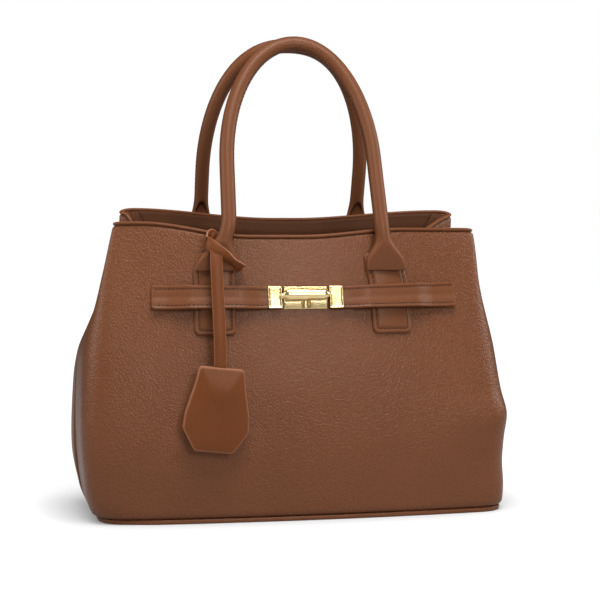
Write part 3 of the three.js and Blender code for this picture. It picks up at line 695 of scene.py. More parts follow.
def corner_round(z):
    """How far from a corner its rounding starts. It is tighter towards the rim."""
    share = (z - ROUND_START_Z) / (PROFILE_TOP_Z - ROUND_START_Z)
    return mix(LOW_CORNER_ROUND, RIM_CORNER_ROUND, ease(share))


def seam_place(wall, z):
    """The seam in the middle of the side, as (half width, depth on this wall's side)."""
    fold = ease((z - FOLD_START_Z) / (PROFILE_TOP_Z - FOLD_START_Z))
    mean = (half_width(FRONT, z) + half_width(BACK, z)) / 2
    out = swell(z, SIDE_BASE_BOW, SIDE_BOW, SIDE_BOW, WIDTH_SWELL)
    middle = (corner_depth(BACK, z) - corner_depth(FRONT, z)) / 2
    return Vector((mean + out * (1 - fold) - FOLD_DEPTH * fold, wall.side * middle + SEAM_GAP / 2))


def wall_point(wall, along, z, inset=0.0):
    """A point of a wall. along runs from -1 at the left seam to 1 at the right one, inset inwards."""
    share = abs(along)
    shift = sideways(wall, z)
    seam_shift = (sideways(FRONT, z) + sideways(BACK, z)) / 2
    corner = Vector((half_width(wall, z), corner_depth(wall, z)))
    seam = seam_place(wall, z)
    leg = (seam - corner).normalized()
    face = Vector((1, -2 * bow(wall, z) / corner.x)).normalized()
    face_in = Vector((face.y, -face.x))
    leg_in = Vector((leg.y, -leg.x))
    turn = face_in.x * leg_in.y - face_in.y * leg_in.x
    corner = corner + Vector((leg_in.y - face_in.y, face_in.x - leg_in.x)) * (inset / turn)
    seam = seam + Vector((inset / leg_in.x, 0))
    rounding = corner_round(z)
    end = corner.x - rounding
    if share <= FACE_SHARE:
        x = end * share / FACE_SHARE
        flat = Vector((x, depth(wall, x + shift, z) - inset))
    else:
        leg_start = corner + (seam - corner).normalized() * rounding
        if share <= CORNER_SHARE:
            past = (share - FACE_SHARE) / (CORNER_SHARE - FACE_SHARE)
            first = Vector((end, depth(wall, end + shift, z) - inset))
            flat = first.lerp(corner, past).lerp(corner.lerp(leg_start, past), past)
        else:
            past = (share - CORNER_SHARE) / (1 - CORNER_SHARE)
            flat = leg_start.lerp(seam, past)
            shift = mix(shift, seam_shift, past)
    return Vector((math.copysign(flat.x, along) + shift, wall.side * flat.y, z))


def rim_height(wall, along):
    """The height of a wall's upper edge: it sags in the middle, and dips in the fold of each side."""
    share = abs(along)
    side = -1 if along < 0 else 1
    end = half_width(wall, wall.rim_z) - corner_round(wall.rim_z)
    rise, start, reach = wall.rim_rise[side]
    face = wall.rim_z + rise * ease((end * min(share / FACE_SHARE, 1) - start) / reach)
    face -= wall.corner_drop * ease((share - CORNER_DROP_START) / CORNER_DROP_REACH)
    seam_z, dip_start, dip_reach = SEAM_DIP[side]
    return mix(face, seam_z, ease((share - dip_start) / dip_reach))


def foot_middle(wall, side, z):
    """Where the middle of a handle's foot and tab lies. The pull of the handle bends it inwards."""
    places = wall.foot[side]
    for (low_z, low_x), (high_z, high_x) in zip(places, places[1:]):
        if z <= high_z:
            return mix(low_x, high_x, clamp((z - low_z) / (high_z - low_z)))
    return places[-1][1]


belly = wall_point(FRONT, 1, WIDTH_SWELL.belly_z)
print("outline at the belly:", tuple(round(value, 4) for value in belly))

# %% [markdown]
# ## How soft leather differs from the pattern
# No hide hangs as evenly as its pattern. It waves a little where nothing holds it, its sides slump
# outwards over the base, and it is drawn flat round the lock. That could be sculpted by hand or simulated
# as cloth. A structured bag moves only by millimetres, so a slow noise and a few named bulges do it.

# %% Softness of the walls
BELT_Z = 0.169
WAVE_DEPTH = 0.0016
WAVES_PER_METRE = 10
BASE_HOLD = 0.025
RIM_HOLD = 0.05
LOCK_HOLD = 0.025
LOCK_HOLD_REACH = 0.05
HEEL_X = 0.11
HEEL_REACH = 0.05
HEEL_HEIGHT = 0.022
HEEL_DEPTH = 0.0045
BULGE_X = 0.10
BULGE_REACH = 0.06
BULGE_FOOT = 0.03
BULGES = (
    SimpleNamespace(side=-1, z=0.126, reach=0.045, depth=0.0013),
    SimpleNamespace(side=1, z=0.077, reach=0.013, depth=0.0026),
    SimpleNamespace(side=1, z=0.038, reach=0.014, depth=-0.0012),
)
# the left side slumps out most on the back wall, near the seam
REAR = SimpleNamespace(
    bulge=0.0046, x=0.13, x_reach=0.03, y=0.022, y_reach=0.020, full_z=0.05, end_z=0.165, end_reach=0.06,
)


def softness(wall, point):
    """How far the leather stands out from the even outline at a point."""
    free = ease(point.z / BASE_HOLD) * ease((RIM_Z - point.z) / RIM_HOLD)
    held = ease((math.hypot(point.x, point.z - BELT_Z) - LOCK_HOLD) / LOCK_HOLD_REACH)
    wave = noise.noise(point * WAVES_PER_METRE + wall.drift)
    proud = WAVE_DEPTH * wave * free * held
    for bulge in BULGES:
        near_side = ease((bulge.side * point.x - BULGE_X) / BULGE_REACH)
        level = peak(point.z, bulge.z, bulge.reach) * ease(point.z / BULGE_FOOT)
        proud += bulge.depth * near_side * level
    heel = ease((-point.x - HEEL_X) / HEEL_REACH) * clamp(1 - point.z / HEEL_HEIGHT) ** 2
    if wall is BACK and point.x < 0:
        level = ease(point.z / REAR.full_z) * ease((REAR.end_z - point.z) / REAR.end_reach)
        near_side = ease((-point.x - REAR.x) / REAR.x_reach)
        proud += REAR.bulge * level * peak(point.y, REAR.y, REAR.y_reach) * near_side
    return proud - HEEL_DEPTH * heel


def skin(wall, x, z):
    """A point of the outer face of a wall, where patches are sewn on."""
    far = depth(wall, x, z)
    point = Vector((x, wall.side * far, z))
    return Vector((x, wall.side * (far + softness(wall, point)), z))


def skin_normal(wall, x, z, step=0.001):
    """The outward direction of the wall at a point."""
    across = skin(wall, x + step, z) - skin(wall, x - step, z)
    rise = skin(wall, x, z + step) - skin(wall, x, z - step)
    return (across.cross(rise) * -wall.side).normalized()


def on_skin(wall, x, z, lift):
    """A point at a height above the outer face of a wall."""
    return skin(wall, x, z) + skin_normal(wall, x, z) * lift


left_belly = Vector((-0.16, -0.05, 0.09))
print("softness at the left of the belly:", round(softness(FRONT, left_belly) * 1000, 2), "mm")

# %% [markdown]
# ## The two hides
# Each hide is a grid of leather about 2 mm fine, laid on the outline. Its lower edge rolls in over the
# base, its upper edge tucks in under the rim's bead, and its ends turn in at the side seam, which is
# what gives these edges their dark lines. A Solidify modifier adds the thickness inwards.

# %% Front and back hide
PANEL_THICKNESS = 0.0022
PANEL_BOTTOM_Z = 0.0040
HIDE_COLUMNS = 190
HIDE_ROWS = 100
FOOT_ROLL = 0.0016
FOOT_ROLL_HEIGHT = 0.004
SEAM_ROLL = 0.0016
SEAM_ROLL_WIDTH = 0.004
RIM_TUCK = 0.0007
RIM_TUCK_HEIGHT = 0.0022


def quarter_round(distance, reach):
    """1 at the edge of a rounded edge and 0 past its reach, as a quarter circle falls."""
    inside = 1 - clamp(distance / reach)
    return 1 - math.sqrt(1 - inside * inside)


def hide_place(wall):
    """The place of each point of a hide."""

    def place(u, v):
        along = -wall.side * (2 * u - 1)
        top = rim_height(wall, along)
        z = mix(PANEL_BOTTOM_Z, top, v)
        even = wall_point(wall, along, z)
        seam = wall_point(wall, math.copysign(1, along), z)
        roll = FOOT_ROLL * quarter_round(z - PANEL_BOTTOM_Z, FOOT_ROLL_HEIGHT)
        roll += SEAM_ROLL * quarter_round((even - seam).length, SEAM_ROLL_WIDTH)
        roll += RIM_TUCK * quarter_round(top - z, RIM_TUCK_HEIGHT)
        return wall_point(wall, along, z, roll - softness(wall, even))

    return place


for wall in (FRONT, BACK):
    bm = bent_sheet(HIDE_COLUMNS, HIDE_ROWS, hide_place(wall))
    name = wall.name + "_hide"
    add_piece(name, bm, PEBBLED, "bag", [wall.name + "_panel"], PANEL_THICKNESS)

# %% [markdown]
# ## The bound rim
# A strip of smooth leather is folded over the upper edge and shows as a thin bead. It follows the rim
# from one side seam to the other. An oval ring is extruded from place to place along it, because a curve
# with a bevel would twist in the fold of the side.

# %% Rim beads
BEAD_HALF_HEIGHT = 0.0014
BEAD_HALF_DEPTH = 0.0019
BEAD_RISE = 0.0009
BEAD_INSET = 0.0008
BEAD_STEPS = 200
BEAD_SIDES = 12


def tube_rings(line, sides, half_across, half_up):
    """Oval rings round a line of points that stay upright."""
    rings = []
    for number, point in enumerate(line):
        ahead = heading(line, number)
        across = ahead.cross(Z_AXIS).normalized()
        up = across.cross(ahead).normalized()
        ring = []
        for angle in turns(sides):
            ring.append(point + across * half_across * math.cos(angle) + up * half_up * math.sin(angle))
        rings.append(ring)
    return rings


def rim_line(wall, inset, rise):
    """The line along a wall's upper edge."""
    line = []
    for number in range(BEAD_STEPS + 1):
        along = mix(-1, 1, number / BEAD_STEPS)
        z = rim_height(wall, along)
        point = wall_point(wall, along, z, inset)
        point.z = z + rise
        line.append(point)
    return line


for wall in (FRONT, BACK):
    line = rim_line(wall, BEAD_INSET, BEAD_RISE)
    bm = loft(tube_rings(line, BEAD_SIDES, BEAD_HALF_DEPTH, BEAD_HALF_HEIGHT))
    add_piece(wall.name + "_rim_bead", bm, SMOOTH, "bag", [wall.name + "_rim_binding"])

# %% [markdown]
# ## The base
# Under the hides lies a flat base of the same leather. Only its rounded edge shows, as a thin band. One
# face of the base outline is extruded by its thickness, and its two rims are bevelled round. On it lies
# the board that keeps the base flat, two outlines that are joined and cut back from the hides.

# %% Base panel and board
BASE_LIP = -0.0006
BASE_THICKNESS = 0.0036
BASE_ROUND = 0.0011
BASE_STEPS = 70
BOARD_INSET = 0.0060
SHARP = math.radians(60)


def walk(wall, steps):
    """Steps along a wall from seam to seam. The front's and the back's together go once round the bag."""
    return [-wall.side * mix(-1, 1, (number + 0.5) / steps) for number in range(steps)]


def outline(z, inset, steps):
    """The whole outline of the bag at a level, front wall first."""
    points = []
    for wall in (FRONT, BACK):
        for along in walk(wall, steps):
            proud = softness(wall, wall_point(wall, along, z))
            points.append(wall_point(wall, along, z, inset - proud))
    return points


def base_mesh():
    """A slab on the outline of the base, with round rims."""
    bm = bmesh.new()
    rim = [bm.verts.new(point) for point in outline(0.0, -BASE_LIP, BASE_STEPS)]
    floor = bm.faces.new(rim)
    made = bmesh.ops.extrude_face_region(bm, geom=[floor])["geom"]
    raised = [part for part in made if isinstance(part, bmesh.types.BMVert)]
    bmesh.ops.translate(bm, verts=raised, vec=(0, 0, BASE_THICKNESS))
    bmesh.ops.recalc_face_normals(bm, faces=bm.faces)
    sharp = [edge for edge in bm.edges if edge.calc_face_angle(0) > SHARP]
    round_edges(bm, sharp, BASE_ROUND, segments=3)
    return bm


def board_mesh():
    """The board that stiffens the base, as high as in the frame and cut back from the hides."""
    low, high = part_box("base_board")
    return loft([outline(low[2], BOARD_INSET, BASE_STEPS), outline(high[2], BOARD_INSET, BASE_STEPS)])


add_piece("base_hide", base_mesh(), PEBBLED, "bag", ["base_panel"])
add_piece("stiff_board", board_mesh(), BOARD, "bag", ["base_board"])

# %% [markdown]
# ## Lining and facings
# Inside hangs a lining, one pouch that is lofted from the base up to the rim and folds in with the
# sides. Along the rim, front and back, a facing of smooth leather covers its upper edge. The lining is
# one loft of rings, because a pouch made of five plates would show gaps in the corners.

# %% Lining pouch and facings
LINING_FLOOR_Z = 0.0078
LINING_FLOOR_ROUND = 0.004
LINING_FLOOR_RISE = 0.002
LINING_FLOOR_SHARES = (0.02, 0.35, 0.7, 0.93)
LINING_INSET = 0.0052
LINING_RIM_INSET = 0.0024
LINING_RIM_GAP = 0.0002
LINING_THICKNESS = 0.0008
LINING_LEVELS = 46
LINING_STEPS = 72
SLACK_DEPTH = 0.0012
SLACKS_PER_METRE = 16
SLACK_REACH = 0.06
RIM_EASE = 0.012
FACING_HEIGHT = 0.040
FACING_INSET = 0.0060
FACING_RIM_INSET = 0.0036
FACING_RIM_GAP = 0.0004
FACING_THICKNESS = 0.0014
FACING_END = 0.98
FACING_COLUMNS = 90
FACING_ROWS = 16


def lining_point(wall, along, share):
    """A point of the lining at a share of its height. It hangs slack below the rim."""
    top = rim_height(wall, along) - LINING_RIM_GAP
    z = mix(LINING_FLOOR_Z + LINING_FLOOR_RISE, top, share)
    inset = mix(LINING_RIM_INSET, LINING_INSET, ease((top - z) / RIM_EASE))
    even = wall_point(wall, along, z, inset)
    slack = SLACK_DEPTH * noise.noise(even * SLACKS_PER_METRE + wall.drift) * ease((top - z) / SLACK_REACH)
    return wall_point(wall, along, z, inset + abs(slack))


def lining_rings():
    """Rings from the middle of the floor out to the walls, then up to the rim."""
    rings = []
    floor = outline(LINING_FLOOR_Z, LINING_INSET + LINING_FLOOR_ROUND, LINING_STEPS)
    for share in LINING_FLOOR_SHARES:
        rings.append([Vector((point.x * share, point.y * share, LINING_FLOOR_Z)) for point in floor])
    for level in range(LINING_LEVELS + 1):
        ring = []
        for wall in (FRONT, BACK):
            for along in walk(wall, LINING_STEPS):
                ring.append(lining_point(wall, along, level / LINING_LEVELS))
        rings.append(ring)
    return rings


def facing_place(wall):
    """The place of each point of a facing."""

    def place(u, v):
        along = wall.side * mix(-1, 1, u) * FACE_SHARE * FACING_END
        top = rim_height(wall, along)
        z = mix(top - FACING_HEIGHT, top - FACING_RIM_GAP, v)
        inset = mix(FACING_RIM_INSET, FACING_INSET, ease((top - z) / RIM_EASE))
        return wall_point(wall, along, z, inset)

    return place


LINING_NODES = ["base_lining", "front_lining", "back_lining", "left_lining", "right_lining"]
bm = loft(lining_rings(), open_end=True)
add_piece("lining_pouch", bm, LINING, "bag", LINING_NODES, LINING_THICKNESS)
for wall in (FRONT, BACK):
    bm = bent_sheet(FACING_COLUMNS, FACING_ROWS, facing_place(wall))
    name = wall.name + "_facing_band"
    add_piece(name, bm, SHADED_FACING, "bag", [wall.name + "_facing"], FACING_THICKNESS)

# %% [markdown]
# ## Sewn patches
# The tabs are sewn down all round, and the belt along its two long edges. Near the edge the leather is
# turned over into a bead, then the stitches pull it into a groove, and inside the groove the padding
# lifts it again. A grid that is finest at its edges takes that section from its distance to the edge,
# corners included. The stitches are small separate bodies, one for each place where the thread comes up.

# %% Helpers for sewn patches
STITCH_LENGTH = 0.0024
STITCH_WIDTH = 0.0007
STITCH_PITCH = 0.0032
STITCH_LIFT = 0.0001
STITCH_PROBE = 0.001
STITCH_BEND = 0.0006
STITCH_CORNER_STEPS = 4
SEWN_WIDTH = 0.0008
# painted shade: the groove that the stitches pull is darkened
SEWN_GROOVE_SHADE = 0.55
# the crest of each bead is made paler
BEAD_PALING = 0.12
BEAD_PALING_SHARE = 0.6


def sewn_section(height, bead, groove, dip, crown, spread):
    """The section of a patch: its lift, the painted shade in its groove and how much paler its bead's crest
    is, at a distance from its edge and its sewn edge.
    """

    def section(distance, sewn):
        rise = math.sqrt(max(0.0, 1 - (1 - min(distance / bead, 1)) ** 2))
        pinch = peak(sewn, groove, SEWN_WIDTH)
        lift = height * rise + crown * ease((sewn - groove) / spread) - dip * pinch
        return lift, SEWN_GROOVE_SHADE * pinch, BEAD_PALING * peak(distance, bead, bead * BEAD_PALING_SHARE)

    return section


def round_corner(x, z, half_x, half_z, corner):
    """Draws a point of a rectangle in behind its round corner, and gives its distance to the edge."""
    over_x = abs(x) - (half_x - corner)
    over_z = abs(z) - (half_z - corner)
    if over_x > 0 and over_z > 0:
        reach = max(over_x, over_z)
        pull = reach / math.hypot(over_x, over_z)
        x = math.copysign(half_x - corner + over_x * pull, x)
        z = math.copysign(half_z - corner + over_z * pull, z)
        return x, z, corner - reach
    return x, z, min(half_x - abs(x), half_z - abs(z))


def sewn_patch(half_x, half_z, corner, columns, rows, section, seat, sewn_ends=True):
    """A patch whose points sit where seat(x, z, lift) says. Its ends may be left without a seam."""
    bm = bmesh.new()
    crease = bm.verts.layers.float.new("crease")
    wear = bm.verts.layers.float.new("wear")
    bmesh.ops.create_grid(bm, x_segments=columns, y_segments=rows, size=1.0)
    for vert in bm.verts:
        x = half_x * math.sin(vert.co.x * math.pi / 2)
        z = half_z * math.sin(vert.co.y * math.pi / 2)
        x, z, distance = round_corner(x, z, half_x, half_z, corner)
        sewn = distance if sewn_ends else half_z - abs(z)
        lift, vert[crease], vert[wear] = section(distance, sewn)
        vert.co = seat(x, z, lift)
    return bm


def stitch_line(half_x, half_z, corner, inset):
    """The line that a row of stitches follows, a set distance inside a patch's edge."""
    x = half_x - inset
    z = half_z - inset
    bend = max(corner - inset, STITCH_BEND)
    points = []
    for quarter in range(4):
        middle_x = math.copysign(x - bend, math.cos((quarter + 0.5) * math.pi / 2))
        middle_z = math.copysign(z - bend, math.sin((quarter + 0.5) * math.pi / 2))
        for step in range(STITCH_CORNER_STEPS + 1):
            angle = (quarter + step / STITCH_CORNER_STEPS) * math.pi / 2
            points.append(Vector((middle_x + bend * math.cos(angle), middle_z + bend * math.sin(angle))))
    points.append(points[0])
    return resample(points, STITCH_PITCH)


def stitch_seats(line, seat, lift):
    """For each stitch its place, its direction and the way up from the leather."""
    seats = []
    for first, last in zip(line, line[1:]):
        low = seat(first.x, first.y, lift)
        high = seat(last.x, last.y, lift)
        top = seat((first.x + last.x) / 2, (first.y + last.y) / 2, lift + STITCH_PROBE)
        middle = (low + high) / 2
        seats.append((middle, (high - low).normalized(), (top - middle).normalized()))
    return seats


def add_stitches(name, seats, body):
    """A row of small stitches at their seats."""
    bm = bmesh.new()
    size = Matrix.Diagonal((STITCH_LENGTH / 2, STITCH_WIDTH / 2, STITCH_WIDTH / 2, 1))
    for middle, along, up in seats:
        across = up.cross(along).normalized()
        turn = Matrix((along, across, along.cross(across))).transposed().to_4x4()
        place = Matrix.Translation(middle) @ turn @ size
        bmesh.ops.create_uvsphere(bm, u_segments=6, v_segments=4, radius=1, matrix=place)
    return add_piece(name, bm, THREAD, body)


print("a stitch is", STITCH_LENGTH * 1000, "mm long, one every", STITCH_PITCH * 1000, "mm")

# %% [markdown]
# ## Handle tabs
# Four padded tabs carry the handles. Each lies on the wall under a flared handle foot, runs down behind
# the belt and ends in a rounded lower edge. The tabs lean inwards a little, as the pull of the handles
# makes them do. The stitches stop where the foot covers the tab.

# %% Tabs
TAB_WIDTH = 0.0318
TAB_TOP_Z = 0.203
TAB_BOTTOM_Z = 0.141
TAB_CORNER = 0.0048
TAB_LIFT = 0.0004
TAB_THICKNESS = 0.0012
TAB_GROOVE = 0.0036
TAB_STITCH_TOP_Z = 0.196
TAB_PILLOW = 0.0016
TAB_COLUMNS = 40
TAB_ROWS = 60
tab_section = sewn_section(
    height=0.0022, bead=0.0017, groove=TAB_GROOVE, dip=0.0005, crown=0.0003, spread=0.003,
)


def add_tab(wall, side):
    """One padded tab and its stitches."""
    middle_z = (TAB_TOP_Z + TAB_BOTTOM_Z) / 2
    half_z = (TAB_TOP_Z - TAB_BOTTOM_Z) / 2

    def seat(x, z, lift):
        height = middle_z + z
        pillow = TAB_PILLOW * (1 - (2 * x / TAB_WIDTH) ** 2) * (1 - (z / half_z) ** 2)
        middle_x = foot_middle(wall, side, height)
        return on_skin(wall, middle_x - wall.side * x, height, TAB_LIFT + lift + pillow)

    name = f"{wall.name}_{SIDE_NAMES[side]}_tab"
    node = f"{wall.name}_{SIDE_NAMES[side]}_handle_tab"
    bm = sewn_patch(TAB_WIDTH / 2, half_z, TAB_CORNER, TAB_COLUMNS, TAB_ROWS, tab_section, seat)
    tab = add_piece(name, bm, SMOOTH, "bag", [node], TAB_THICKNESS)
    line = stitch_line(TAB_WIDTH / 2, half_z, TAB_CORNER, TAB_GROOVE)
    seats = stitch_seats(line, seat, tab_section(TAB_GROOVE, TAB_GROOVE)[0] + STITCH_LIFT)
    seats = [place for place in seats if place[0].z < TAB_STITCH_TOP_Z]
    add_stitches(name + "_stitches", seats, "bag")


for wall in (FRONT, BACK):
    for side in SIDE_NAMES:
        add_tab(wall, side)

# %% [markdown]
# ## The belt
# A belt of smooth leather runs across the front in two halves, from the lock out towards the sides. It
# is sewn down at its edges, grows a little wider outwards, and climbs over the two tabs on its way.

# %% Belt halves
BELT_START = 0.0184
BELT_REACH = {-1: 0.1158, 1: 0.1208}
BELT_HEIGHT = 0.017
BELT_END_HEIGHT = {-1: 0.0188, 1: 0.0200}
BELT_END_RAISE = {-1: 0.0004, 1: 0.0014}
BELT_CORNER = 0.0026
BELT_LIFT = 0.0009
BELT_LOWER_LIFT = 0.0028
BELT_THICKNESS = 0.0010
BELT_GROOVE = 0.0030
BELT_CLIMB = 0.0044
BELT_TAB_GAP = 0.001
BELT_RAMP = 0.020
BELT_STITCH_GAP = 0.012
BELT_STITCH_LEVEL = 0.7
BELT_COLUMNS = 110
BELT_ROWS = 32
belt_section = sewn_section(
    height=0.0021, bead=0.0012, groove=BELT_GROOVE, dip=0.0002, crown=0.0003, spread=0.004,
)


def belt_climb(x):
    """How far the belt is lifted where it crosses a tab."""
    middle = foot_middle(FRONT, -1 if x < 0 else 1, BELT_Z)
    past_tab = abs(x - middle) - TAB_WIDTH / 2 - BELT_TAB_GAP
    return BELT_CLIMB * (1 - ease(past_tab / BELT_RAMP))


def add_belt(side):
    """One half of the belt, with stitches along its two edges."""
    reach = BELT_REACH[side]
    end_height = BELT_END_HEIGHT[side]
    half_x = (reach - BELT_START) / 2
    half_z = end_height / 2
    x_middle = side * (reach + BELT_START) / 2

    def seat(x, z, lift):
        place = x_middle + x
        out = (abs(place) - BELT_START) / (reach - BELT_START)
        height = BELT_Z + z * mix(BELT_HEIGHT / end_height, 1, out) + BELT_END_RAISE[side] * out ** 2
        lift += BELT_LIFT + BELT_LOWER_LIFT * clamp(-2 * z / end_height)
        return on_skin(FRONT, place, height, belt_climb(place) + lift)

    name = SIDE_NAMES[side] + "_belt"
    node = "belt_" + SIDE_NAMES[side]
    size = (half_x, half_z, BELT_CORNER, BELT_COLUMNS, BELT_ROWS)
    bm = sewn_patch(*size, belt_section, seat, sewn_ends=False)
    add_piece(name, bm, SMOOTH, "bag", [node], BELT_THICKNESS)
    line = stitch_line(half_x, half_z, BELT_CORNER, BELT_GROOVE)
    sewn = []
    for place in stitch_seats(line, seat, belt_section(BELT_GROOVE, BELT_GROOVE)[0] + STITCH_LIFT):
        past_lock = abs(place[0].x) > BELT_START + BELT_STITCH_GAP
        if past_lock and abs(place[1].x) > BELT_STITCH_LEVEL:
            sewn.append(place)
    add_stitches(name + "_stitches", sewn, "bag")


for side in SIDE_NAMES:
    add_belt(side)

# %% [markdown]
# ## Rolled handles
# A handle is a strip of leather rolled round a rope, sewn along its underside, and opened out flat at
# both ends where it is sewn to its tab. So the handle is one roll from foot to foot. First comes the line
# that it follows: up from the foot, straight along the leg, and over the arch. The leg leans as the fold's
# hinge and the top of the arch say, and smoothing takes out the corners between the three stretches.

# %% Line of a handle
HANDLE_TOP_Z = 0.3685
HANDLE_TOP_DEPTH = 0.008
HANDLE_PITCH = 0.0012
HANDLE_SMOOTHING = 40
LEG_TOP_Z = 0.270
FOOT_STEPS = 24
LEG_STEPS = 19
ARCH_STEPS = 60
FOLD_EASE = 0.012
FLARE_BOTTOM_Z = 0.1895


def half_handle(wall, side, hinge, top):
    """Points from one foot up to the middle of the arch."""
    height = (top - hinge).length
    up = (top - hinge).normalized()
    leg = (LEG_TOP_Z - hinge.z) / up.z
    foot_x = foot_middle(wall, side, hinge.z)
    arch_x = wall.arch[side]
    half = []
    for step in range(FOOT_STEPS + 1):
        z = mix(FLARE_BOTTOM_Z, hinge.z, step / FOOT_STEPS)
        half.append(Vector((foot_middle(wall, side, z), hinge.y, z)))
    for step in range(1, LEG_STEPS + 1):
        x = mix(foot_x, arch_x, step / LEG_STEPS)
        half.append(hinge + up * leg * step / LEG_STEPS + X_AXIS * x)
    for step in range(1, ARCH_STEPS + 1):
        angle = step / ARCH_STEPS * math.pi / 2
        rise = leg + (height - leg) * math.sin(angle)
        x = mix(wall.arch_top_x, arch_x, max(math.cos(angle), 0.0) ** wall.arch_power)
        half.append(hinge + up * rise + X_AXIS * x)
    return half


def handle_line(wall):
    """Points from foot to foot over the arch, the outward way at each, the hinge and the way up its leg."""
    hinge = Vector(JOINTS[wall.name + "_handle_fold"]["pos_m"])
    top = Vector((0, wall.side * HANDLE_TOP_DEPTH, HANDLE_TOP_Z))
    up = (top - hinge).normalized()
    left = half_handle(wall, -1, hinge, top)
    right = half_handle(wall, 1, hinge, top)
    line = resample(left + right[-2::-1], HANDLE_PITCH)
    foot_out = Vector((0, wall.side, 0))
    leg_out = Vector((0, wall.side * up.z, -wall.side * up.y))
    outs = []
    for point in line:
        past = (point.z - hinge.z + FOLD_EASE) / (2 * FOLD_EASE)
        outs.append(foot_out.lerp(leg_out, ease(past)))
    return smoothed(line, HANDLE_SMOOTHING), outs, hinge, up


print("a handle's line has", len(handle_line(FRONT)[0]), "points")

# %% [markdown]
# ## The section of a handle
# Where the strip opens out, the ring changes from a circle to a wide flat section. It is cut off flat on
# its inner side, where it lies on the tab, and on its outer side by a facet that begins in a point below
# the rim. On the underside the strip is hemmed in an arch above each foot, and further up its two edges
# meet in a seam, a notch in the ring with stitches along it. The rope inside follows the same line.

# %% Section of a handle
HANDLE_RADIUS = 0.00575
HANDLE_SIDES = 40
FLARE_SIDE_Z = 0.195
FLARE_TOP_Z = 0.2185
FLARE_APEX_Z = 0.2130
FLARE_HALF_WIDTH = 0.0153
FLARE_CURVE = 1.3
FLARE_THICKNESS = 0.0024
FLARE_STRAIGHT = 0.025
TAB_FACE = 0.0037
TAB_END = 0.006
# painted highlight: a pale line along the ridges of each flared foot
RIDGE_SHEEN = 0.4
RIDGE_WIDTH = 0.0006
HEM_RISE = 0.0110
HEM_HEIGHT = 0.014
HEM_HALF_WIDTH = 0.0064
HEM_DEPTH = 0.0022
HEM_EDGE = 0.001
# painted shade: a dark line along the edge of each hem, for the shadow in the gap under it
HEM_SHADE = SimpleNamespace(strength=1.6, drop=0.0008, reach=0.0018)
NOTCH_GAP = 0.004
NOTCH_DEPTH = 0.0004


def foot_limits(wall, point, hinge):
    """Half width, inner limit and outer limit of the handle's section at a point of its foot."""
    z = point.z
    side_z = FLARE_SIDE_Z + wall.flare_raise / 3
    top_z = FLARE_TOP_Z + wall.flare_raise
    spread = (1 - ease((z - side_z) / (top_z - side_z))) ** FLARE_CURVE
    wide = mix(HANDLE_RADIUS, FLARE_HALF_WIDTH, spread)
    centre = abs(hinge.y)
    seat = depth(wall, point.x, z) + TAB_FACE - centre
    inner = mix(seat, -HANDLE_RADIUS, ease((z - TAB_TOP_Z) / TAB_END))
    low = depth(wall, point.x, FLARE_BOTTOM_Z) + TAB_FACE + FLARE_THICKNESS - centre
    outer = mix(low, HANDLE_RADIUS, clamp((z - FLARE_BOTTOM_Z) / (FLARE_APEX_Z - FLARE_BOTTOM_Z)))
    return wide, inner, outer


def handle_section(z, hem_top, wide, inner, outer):
    """For each point of a ring its places across and outwards, its painted shade along the hem and its
    painted highlight along the ridge of the foot.
    """
    section = []
    for angle in turns(HANDLE_SIDES):
        a = wide * math.cos(angle)
        b = HANDLE_RADIUS * math.sin(angle)
        crease = 0.0
        wear = 0.0
        hem = hem_top - HEM_HEIGHT * (a / HEM_HALF_WIDTH) ** 2
        if b < 0 and z > FLARE_TOP_Z:
            b = max(b, -HANDLE_RADIUS + HEM_DEPTH * ease((hem - z) / HEM_EDGE))
            crease = HEM_SHADE.strength * peak(z, hem - HEM_SHADE.drop, HEM_SHADE.reach)
        if angle == 0 and z > hem_top + NOTCH_GAP:
            a -= NOTCH_DEPTH
        if b > 0 and outer < HANDLE_RADIUS:
            wear = RIDGE_SHEEN * peak(b, outer, RIDGE_WIDTH)
        section.append((a, clamp(b, inner, outer), crease, wear))
    return section


print("a handle is", HANDLE_RADIUS * 2000, "mm thick and opens out to", FLARE_HALF_WIDTH * 2000, "mm")

# %% [markdown]
# ## The handles in one piece
# The rings are lofted along the line in one go, foot and leg together. The leather bends where the foot
# ends: below the hinge the rings face out from the bag, above it out from the handle, and between they turn
# from one to the other.

# %% Handles
ROPE_RADIUS = 0.0035
ROPE_SIDES = 12
ROPE_END = 0.003
SEAM_START = 0.010
SEAM_SINK = 0.0002
SEAM_EVERY = 3


def handle_rings(wall):
    """The rings of a handle with their painted hem shade and ridge highlight, those of its rope, and its
    seam's stitches.
    """
    line, outs, hinge, up = handle_line(wall)
    hem_top = hinge.z + HEM_RISE
    roll = SimpleNamespace(rings=[], creases=[], wear=[], rope=[], seam=[], hinge=hinge, up=up)
    for number, point in enumerate(line):
        ahead = heading(line, number).normalized()
        upright = Z_AXIS if ahead.z > 0 else -Z_AXIS
        ahead = upright.lerp(ahead, ease((point.z - FLARE_SIDE_Z) / FLARE_STRAIGHT)).normalized()
        out = (outs[number] - ahead * outs[number].dot(ahead)).normalized()
        across = ahead.cross(out)
        limits = (HANDLE_RADIUS, -HANDLE_RADIUS, HANDLE_RADIUS)
        if point.z < FLARE_TOP_Z + wall.flare_raise:
            limits = foot_limits(wall, point, hinge)
        section = handle_section(point.z, hem_top, *limits)
        roll.rings.append([point + across * a + out * b for a, b, crease, wear in section])
        roll.creases.append([crease for a, b, crease, wear in section])
        roll.wear.append([wear for a, b, crease, wear in section])
        if point.z > hinge.z - ROPE_END:
            ways = [across * math.cos(turn) + out * math.sin(turn) for turn in turns(ROPE_SIDES)]
            roll.rope.append([point + way * ROPE_RADIUS for way in ways])
        if point.z > hem_top + SEAM_START:
            roll.seam.append((point + across * (HANDLE_RADIUS - SEAM_SINK), ahead, across))
    return roll


